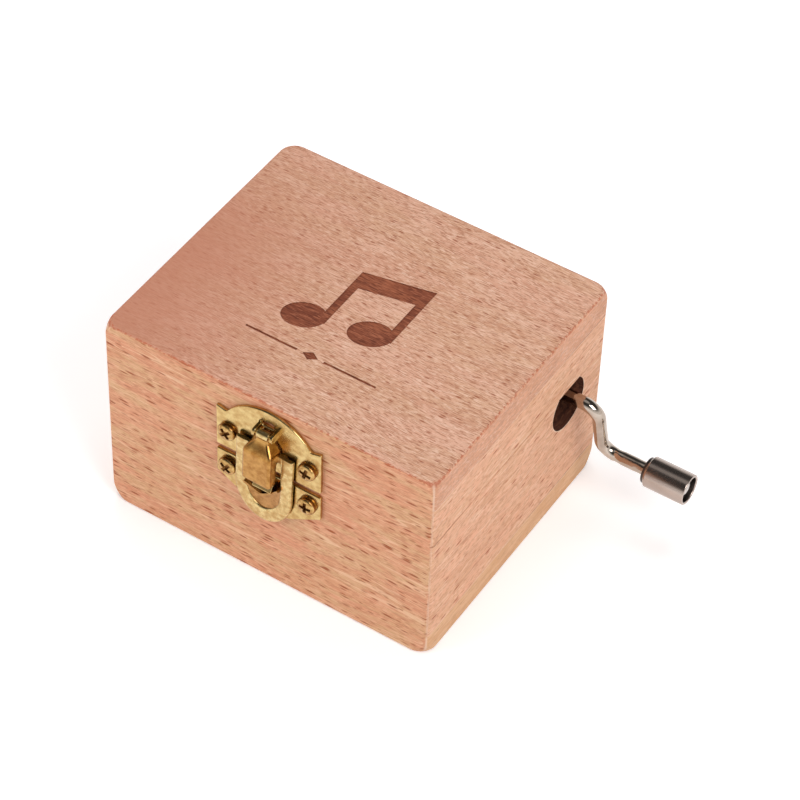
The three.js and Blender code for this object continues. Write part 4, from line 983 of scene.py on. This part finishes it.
def build_lower_plate():
    left = [(-PLATE_HALF_WIDTH, -LOWER_DROP), (-PLATE_HALF_WIDTH, -LOWER_SIDE), (-SLOPE_HALF, -SLOPE_END)]
    plate = plate_sheet("latch_lower_sheet", left + [(0, -LOWER_DEPTH)] + mirrored(left))
    seat_brass(soften(plate, PLATE_ROLL, segments=4, angle=25), "base", ["latch_lower_plate"])
    wedge = [(PLATE_THICKNESS / 2, CATCH_FOOT), (CATCH_REACH - CATCH_LIP, CATCH_FOOT),
             (CATCH_REACH, CATCH_FOOT + CATCH_LIP), (PLATE_THICKNESS + CATCH_LIP, CATCH_TOP),
             (PLATE_THICKNESS / 2, CATCH_TOP)]
    catch = loft("latch_catch", side_rings(wedge, -CATCH_HALF_WIDTH, CATCH_HALF_WIDTH))
    seat_brass(soften(catch, CATCH_EDGE), "base")


# Tongue of the latch
def hang_brass(obj, material, nodes=()):
    """Puts a piece of the tongue in its place, leaning a little on its pin."""
    pin = Matrix.Translation((PIVOT.x, 0, PIVOT.z))
    lean = pin @ Matrix.Rotation(math.radians(TONGUE_LEAN), 4, "Y") @ pin.inverted()
    place_piece(moved(obj, lean @ LATCH_SEAT), "tongue", "brass", nodes, material)


def rim_points():
    """Outer and inner points of the rim, from its left shoulder round the foot to its right shoulder."""
    inner = RIM_HALF_WIDTH - RIM_BAND
    foot = [((RIM_HALF_WIDTH * math.cos(angle), RIM_BEND + RIM_FOOT_DEPTH * math.sin(angle)),
             (inner * math.cos(angle), RIM_BEND + WINDOW_FOOT_DEPTH * math.sin(angle)))
            for angle in angles(math.pi, math.pi, 48)]
    return [((-RIM_HALF_WIDTH, RIM_SHOULDER), (-inner, RIM_SHOULDER)), *foot,
            ((RIM_HALF_WIDTH, RIM_SHOULDER), (inner, RIM_SHOULDER))]


def build_rim():
    rings = []
    for outer, inner in rim_points():
        ring = []
        for across, up in RIM_SECTION:
            x, z = (inner[axis] + (outer[axis] - inner[axis]) * across for axis in (0, 1))
            ring.append((x, -(RIM_BACK + (RIM_FRONT - RIM_BACK) * up), z))
        rings.append(ring)
    hang_brass(soften(loft("tongue_rim", rings), RIM_EDGE, segments=2, angle=50), RIM_BRASS, ["latch_tongue"])


def build_dish(columns=40, rows=16):
    """The pressed web in the foot of the rim, its free edge turned outwards."""
    inner = RIM_HALF_WIDTH - RIM_BAND + DISH_TUCK
    vertices, faces = [], []
    for column in range(columns + 1):
        angle = math.pi + math.pi * (DISH_END + (1 - 2 * DISH_END) * column / columns)
        x = inner * math.cos(angle)
        low = RIM_BEND + (WINDOW_FOOT_DEPTH + DISH_TUCK) * math.sin(angle)
        high = DISH_TOP + (DISH_RISE_RIGHT if x > 0 else DISH_RISE_LEFT) * abs(x / inner) ** DISH_RISE_CURVE
        for row in range(rows + 1):
            share = row / rows
            bowl = math.sin(math.pi * min(1.0, BOWL_SPAN * share)) ** BOWL_CURVE * (1 - (x / inner) ** 2) ** 0.5
            lip = max(0.0, share - DISH_LIP_START) / (1 - DISH_LIP_START)
            out = DISH_REACH - DISH_DEPTH * bowl + DISH_LIP * lip * lip
            vertices.append((x, -out, low + (high - low) * share))
    for column in range(columns):
        for row in range(rows):
            corner = column * (rows + 1) + row
            faces.append((corner, corner + 1, corner + rows + 2, corner + rows + 1))
    dish = make_object("tongue_dish", vertices, faces)
    sheet = dish.modifiers.new("sheet", "SOLIDIFY")
    sheet.thickness = DISH_THICKNESS
    sheet.offset = 0
    bake_modifiers(dish)
    # Its darker brass is painted shade in the hollow of the dish
    hang_brass(soften(dish, DISH_EDGE, segments=2, angle=50), DISH_SHADE_BRASS)


def hood_section(half_width, back, reach, z):
    """A channel open to the back, with round ridges and an even sheet."""
    ring = []
    for inset, direction in ((0.0, 1), (HOOD_SHEET, -1)):
        wide, far = half_width - inset, reach - inset
        ridge = max(HOOD_RIDGE_LEAST, min(HOOD_RIDGE, wide * 0.4) - inset * 0.6)
        points = [(-wide, back)]
        points += [(-wide + ridge + ridge * math.cos(angle), far - ridge + ridge * math.sin(angle))
                   for angle in angles(math.pi, -math.pi / 2, 6)]
        ring += (points + mirrored(points))[::direction]
    return [(x, -y, z) for x, y in ring]


def build_hood():
    """A spoon shaped hood: a shallow skirt, a deep flare and a shoulder that swings in to the neck like a bell."""
    skirt_back = HOOD_REACH - SKIRT_DEPTH
    rings = [hood_section(HOOD_HALF_WIDTH, skirt_back, HOOD_REACH - HOOD_LIP_SET, HOOD_LIP),
             hood_section(HOOD_HALF_WIDTH, skirt_back, HOOD_REACH, HOOD_LIP + HOOD_LIP_HEIGHT)]
    for step in range(9):
        share = step / 8
        ease = share * share * (3 - 2 * share)
        rings.append(hood_section(HOOD_HALF_WIDTH, skirt_back + (RIM_BACK - skirt_back) * ease, HOOD_REACH,
                                  SKIRT_TOP + (FLARE_TOP - SKIRT_TOP) * share))
    for step in range(1, 17):
        share = step / 16
        wide = (1 + math.cos(math.pi * share ** NECK_CURVE)) / 2
        deep = (1 + math.cos(math.pi * share)) / 2
        rings.append(hood_section(NECK_HALF_WIDTH + (HOOD_HALF_WIDTH - NECK_HALF_WIDTH) * wide, RIM_BACK,
                                  NECK_REACH + (HOOD_REACH - NECK_REACH) * deep,
                                  SHOULDER + (CROWN - SHOULDER) * share))
    # Its darker brass is a painted dark reflection
    hang_brass(soften(loft("tongue_hood", rings), HOOD_EDGE, segments=2, angle=50), HOOD_DARK_REFLECTION_BRASS)


def build_tongue_joints():
    """The barrel on the pin, and the two bridges between the hood and the rim."""
    half = NECK_HALF_WIDTH
    barrel = revolve("tongue_barrel", [(0, -half), (BARREL_RADIUS, -half), (BARREL_RADIUS, half), (0, half)], 40)
    laid_along_x(barrel, PIVOT)
    place_piece(soften(barrel, JOINT_EDGE), "tongue", "brass", [], RIM_BRASS)
    inner = RIM_HALF_WIDTH - RIM_BAND
    for side, name in ((-1, "left"), (1, "right")):
        ends = sorted((side * (HOOD_HALF_WIDTH - HOOD_SHEET), side * (inner + BRIDGE_TUCK)))
        outline = box_outline(*ends, -RIM_FRONT + BRIDGE_SET, -RIM_BACK)
        bridge = prism(f"tongue_{name}_bridge", outline, RIM_SHOULDER - BRIDGE_HEIGHT, RIM_SHOULDER)
        hang_brass(soften(bridge, JOINT_EDGE), RIM_BRASS)


# Crank and knob
def path_ring(centre, forward, side, radius, flat=0.0, sides=32):
    """A circle about a point of the wire's path, flattened by a share along the side direction."""
    up = forward.cross(side).normalized()
    wide, tall = radius * (1 - flat), radius * (1 + flat * 0.5)
    return [centre + side * (wide * math.cos(angle)) + up * (tall * math.sin(angle))
            for angle in angles(0, 2 * math.pi, sides)[:-1]]


def crank_path(corners, radius, bend_steps=14, straight_steps=30):
    """Points and directions along straight runs that are joined by round bends."""
    points = []
    start = corners[0]
    for count in range(1, len(corners) - 1):
        before = (corners[count - 1] - corners[count]).normalized()
        after = (corners[count + 1] - corners[count]).normalized()
        enter = corners[count] + before * radius
        centre = enter + after * radius
        points += [(start.lerp(enter, step / straight_steps), -before) for step in range(straight_steps)]
        for angle in angles(0, math.pi / 2, bend_steps)[:-1]:
            point = centre - after * radius * math.cos(angle) - before * radius * math.sin(angle)
            points.append((point, (-before * math.cos(angle) + after * math.sin(angle)).normalized()))
        start = corners[count] + after * radius
    last = (corners[-1] - corners[-2]).normalized()
    points += [(start.lerp(corners[-1], step / straight_steps), last) for step in range(straight_steps + 1)]
    return points


def build_crank():
    pin = joint_place("knob_spin")
    low, high = mm_box("crank")
    knob_low, knob_high = mm_box("knob")
    corners = [Vector((low.x, CRANK_AXIS.y, CRANK_AXIS.z)), Vector((ARM_X, CRANK_AXIS.y, CRANK_AXIS.z)),
               Vector((ARM_X, pin.y, pin.z)), Vector((high.x - WIRE_END_GAP, pin.y, pin.z))]
    side = (corners[2] - corners[1]).normalized().cross(Vector((1, 0, 0))).normalized()
    crimps = ((ARM_X + BEND_RADIUS + CRIMP_AFTER_BEND, CRIMP_SHARE),
              (knob_low.x - CRIMP_BEFORE_KNOB, CRIMP_SHARE / 3))
    rings = []
    for point, forward in crank_path(corners, BEND_RADIUS):
        on_pin = (point - Vector((point.x, pin.y, pin.z))).length < 0.01
        flat = max(share * max(0.0, 1 - (abs(point.x - place) / CRIMP_LENGTH) ** 4) for place, share in crimps)
        rings.append(path_ring(point, forward, side, WIRE_RADIUS, flat if on_pin else 0.0))
    place_piece(soften(loft("crank_wire", rings), WIRE_EDGE), "crank", "nickel", ["crank"], NICKEL)
    build_pin_head(pin, high.x, knob_high.x - PIN_END_DEPTH - high.x)
    build_knob(pin, knob_low.x, knob_high.x)


def build_pin_head(pin, end, reach):
    """The end of the wire inside the knob: a collar that keeps the knob on, and a stub with a domed end."""
    radius, thick = COLLAR_RADIUS, COLLAR_THICKNESS
    profile = [(0, -thick), (radius * 0.96, -thick), (radius, -thick * 0.8), (radius, -thick * 0.2),
               (radius * 0.94, 0), (WIRE_RADIUS, 0)]
    profile += [(WIRE_RADIUS * math.cos(angle), reach - PIN_DOME + PIN_DOME * math.sin(angle))
                for angle in angles(0, math.pi / 2, 6)[:-1]]
    head = laid_along_x(revolve("crank_pin_head", profile + [(0, reach)], 40), (end, pin.y, pin.z))
    place_piece(soften(head, 0), "crank", "nickel", [], PEENED)


def build_knob(pin, start, end):
    """The turned knob: a neck at its inner end, a thin rim and a recess at its outer end."""
    length = end - start
    neck = KNOB_RADIUS - KNOB_NECK_DEPTH
    inner = KNOB_RADIUS - KNOB_WALL
    profile = [(KNOB_BORE, 0), (neck, 0), (neck, KNOB_NECK), (KNOB_RADIUS, KNOB_NECK), (KNOB_RADIUS, length),
               (inner, length), (inner, length - KNOB_RECESS), (KNOB_BORE, length - KNOB_RECESS)]
    knob = laid_along_x(revolve("knob_piece", profile, 96), (start, pin.y, pin.z))
    soften(knob, KNOB_EDGE, angle=40)
    # Faces inside the recess and bore take the dark steel: painted shade
    for material in (BRUSHED, BORE_SHADE_STEEL):
        knob.data.materials.append(material)
    for polygon in knob.data.polygons:
        middle = polygon.center - Vector((0, pin.y, pin.z))
        if middle.yz.length < inner + KNOB_EDGE / 4 and middle.x < end - KNOB_EDGE:
            polygon.material_index = 1
    place_piece(knob, "knob", "brushed_steel", ["knob"])


# Stage, light and camera
def build_floor():
    """A pale floor. It is white to the camera and in reflections, and keeps the object's shadow."""
    outline = box_outline(-FLOOR_REACH, FLOOR_REACH, -FLOOR_REACH, FLOOR_REACH)
    floor = make_object("floor", [(x, y, -FLOOR_GAP) for x, y in outline], [(0, 1, 2, 3)])
    floor.data.transform(Matrix.Scale(MM, 4))
    material, tree, shader = new_material("floor_white", Roughness=0.9, Specular_IOR_Level=0.0,
                                          Emission_Color=(*WHITE, 1.0))
    path = node("ShaderNodeLightPath", tree=tree)
    seen = math_node("ADD", path.outputs["Is Camera Ray"], path.outputs["Is Glossy Ray"], clamp=True)
    link(blend_colour(seen, FLOOR_COLOUR, WHITE), shader.inputs["Base Color"])
    link(masked(seen, FLOOR_GLOW), shader.inputs["Emission Strength"])
    floor.data.materials.append(material)


def build_world():
    """A white surround for the camera, even light on the object, and a studio for metal to mirror."""
    world = bpy.data.worlds.new("studio")
    bpy.context.scene.world = world
    world.use_nodes = True
    tree = world.node_tree
    path = node("ShaderNodeLightPath", tree=tree)
    seen = math_node("ADD", path.outputs["Is Camera Ray"], path.outputs["Is Transmission Ray"], clamp=True)
    height = axes(coordinates(tree, "Generated"))[2]
    lower = ramp(height, WALL_START, WALL_END, 1.0, WALL_LEVEL)
    upper = ramp(height, CEILING_START, CEILING_END, 0.0, CEILING_LEVEL)
    colour = blend_colour(path.outputs["Is Glossy Ray"], AMBIENT, math_node("MAXIMUM", lower, upper))
    link(blend_colour(seen, colour, WHITE), tree.nodes["Background"].inputs["Color"])


def build_lamps():
    for name, place, size, watts, glossy in LAMPS:
        light = bpy.data.lights.new(name, "AREA")
        light.shape = "RECTANGLE"
        light.size, light.size_y = size[0] * MM, size[1] * MM
        light.energy = watts
        lamp = add_object(name, light)
        lamp.location = Vector(place) * MM
        lamp.visible_glossy = glossy
        aim = Vector(LAMP_TARGET) * MM - lamp.location
        lamp.rotation_euler = aim.to_track_quat("-Z", "Y").to_euler()


def build_camera():
    azimuth, elevation, roll = (math.radians(angle) for angle in (CAMERA_AZIMUTH, CAMERA_ELEVATION, CAMERA_ROLL))
    turn = (Matrix.Rotation(azimuth, 4, "Z") @ Matrix.Rotation(math.pi / 2 - elevation, 4, "X")
            @ Matrix.Rotation(roll, 4, "Z"))
    data = bpy.data.cameras.new("camera")
    data.sensor_width = SENSOR_WIDTH
    data.lens = FOCAL_PIXELS * SENSOR_WIDTH / PICTURE_WIDTH
    data.clip_start, data.clip_end = CLIP_START, CLIP_END
    camera = add_object("camera", data)
    place = Vector((CAMERA_SHIFT_RIGHT, CAMERA_SHIFT_UP, CAMERA_DISTANCE)) * MM
    camera.matrix_world = turn @ Matrix.Translation(place)
    bpy.context.scene.camera = camera


bpy.context.scene.view_settings.view_transform = "Standard"
build_camera()
build_floor()
build_world()
build_lamps()
build_walls()
build_panels()
build_screws()
build_refined()
build_upper_plate()
build_lower_plate()
build_rim()
build_dish()
build_hood()
build_tongue_joints()
build_crank()
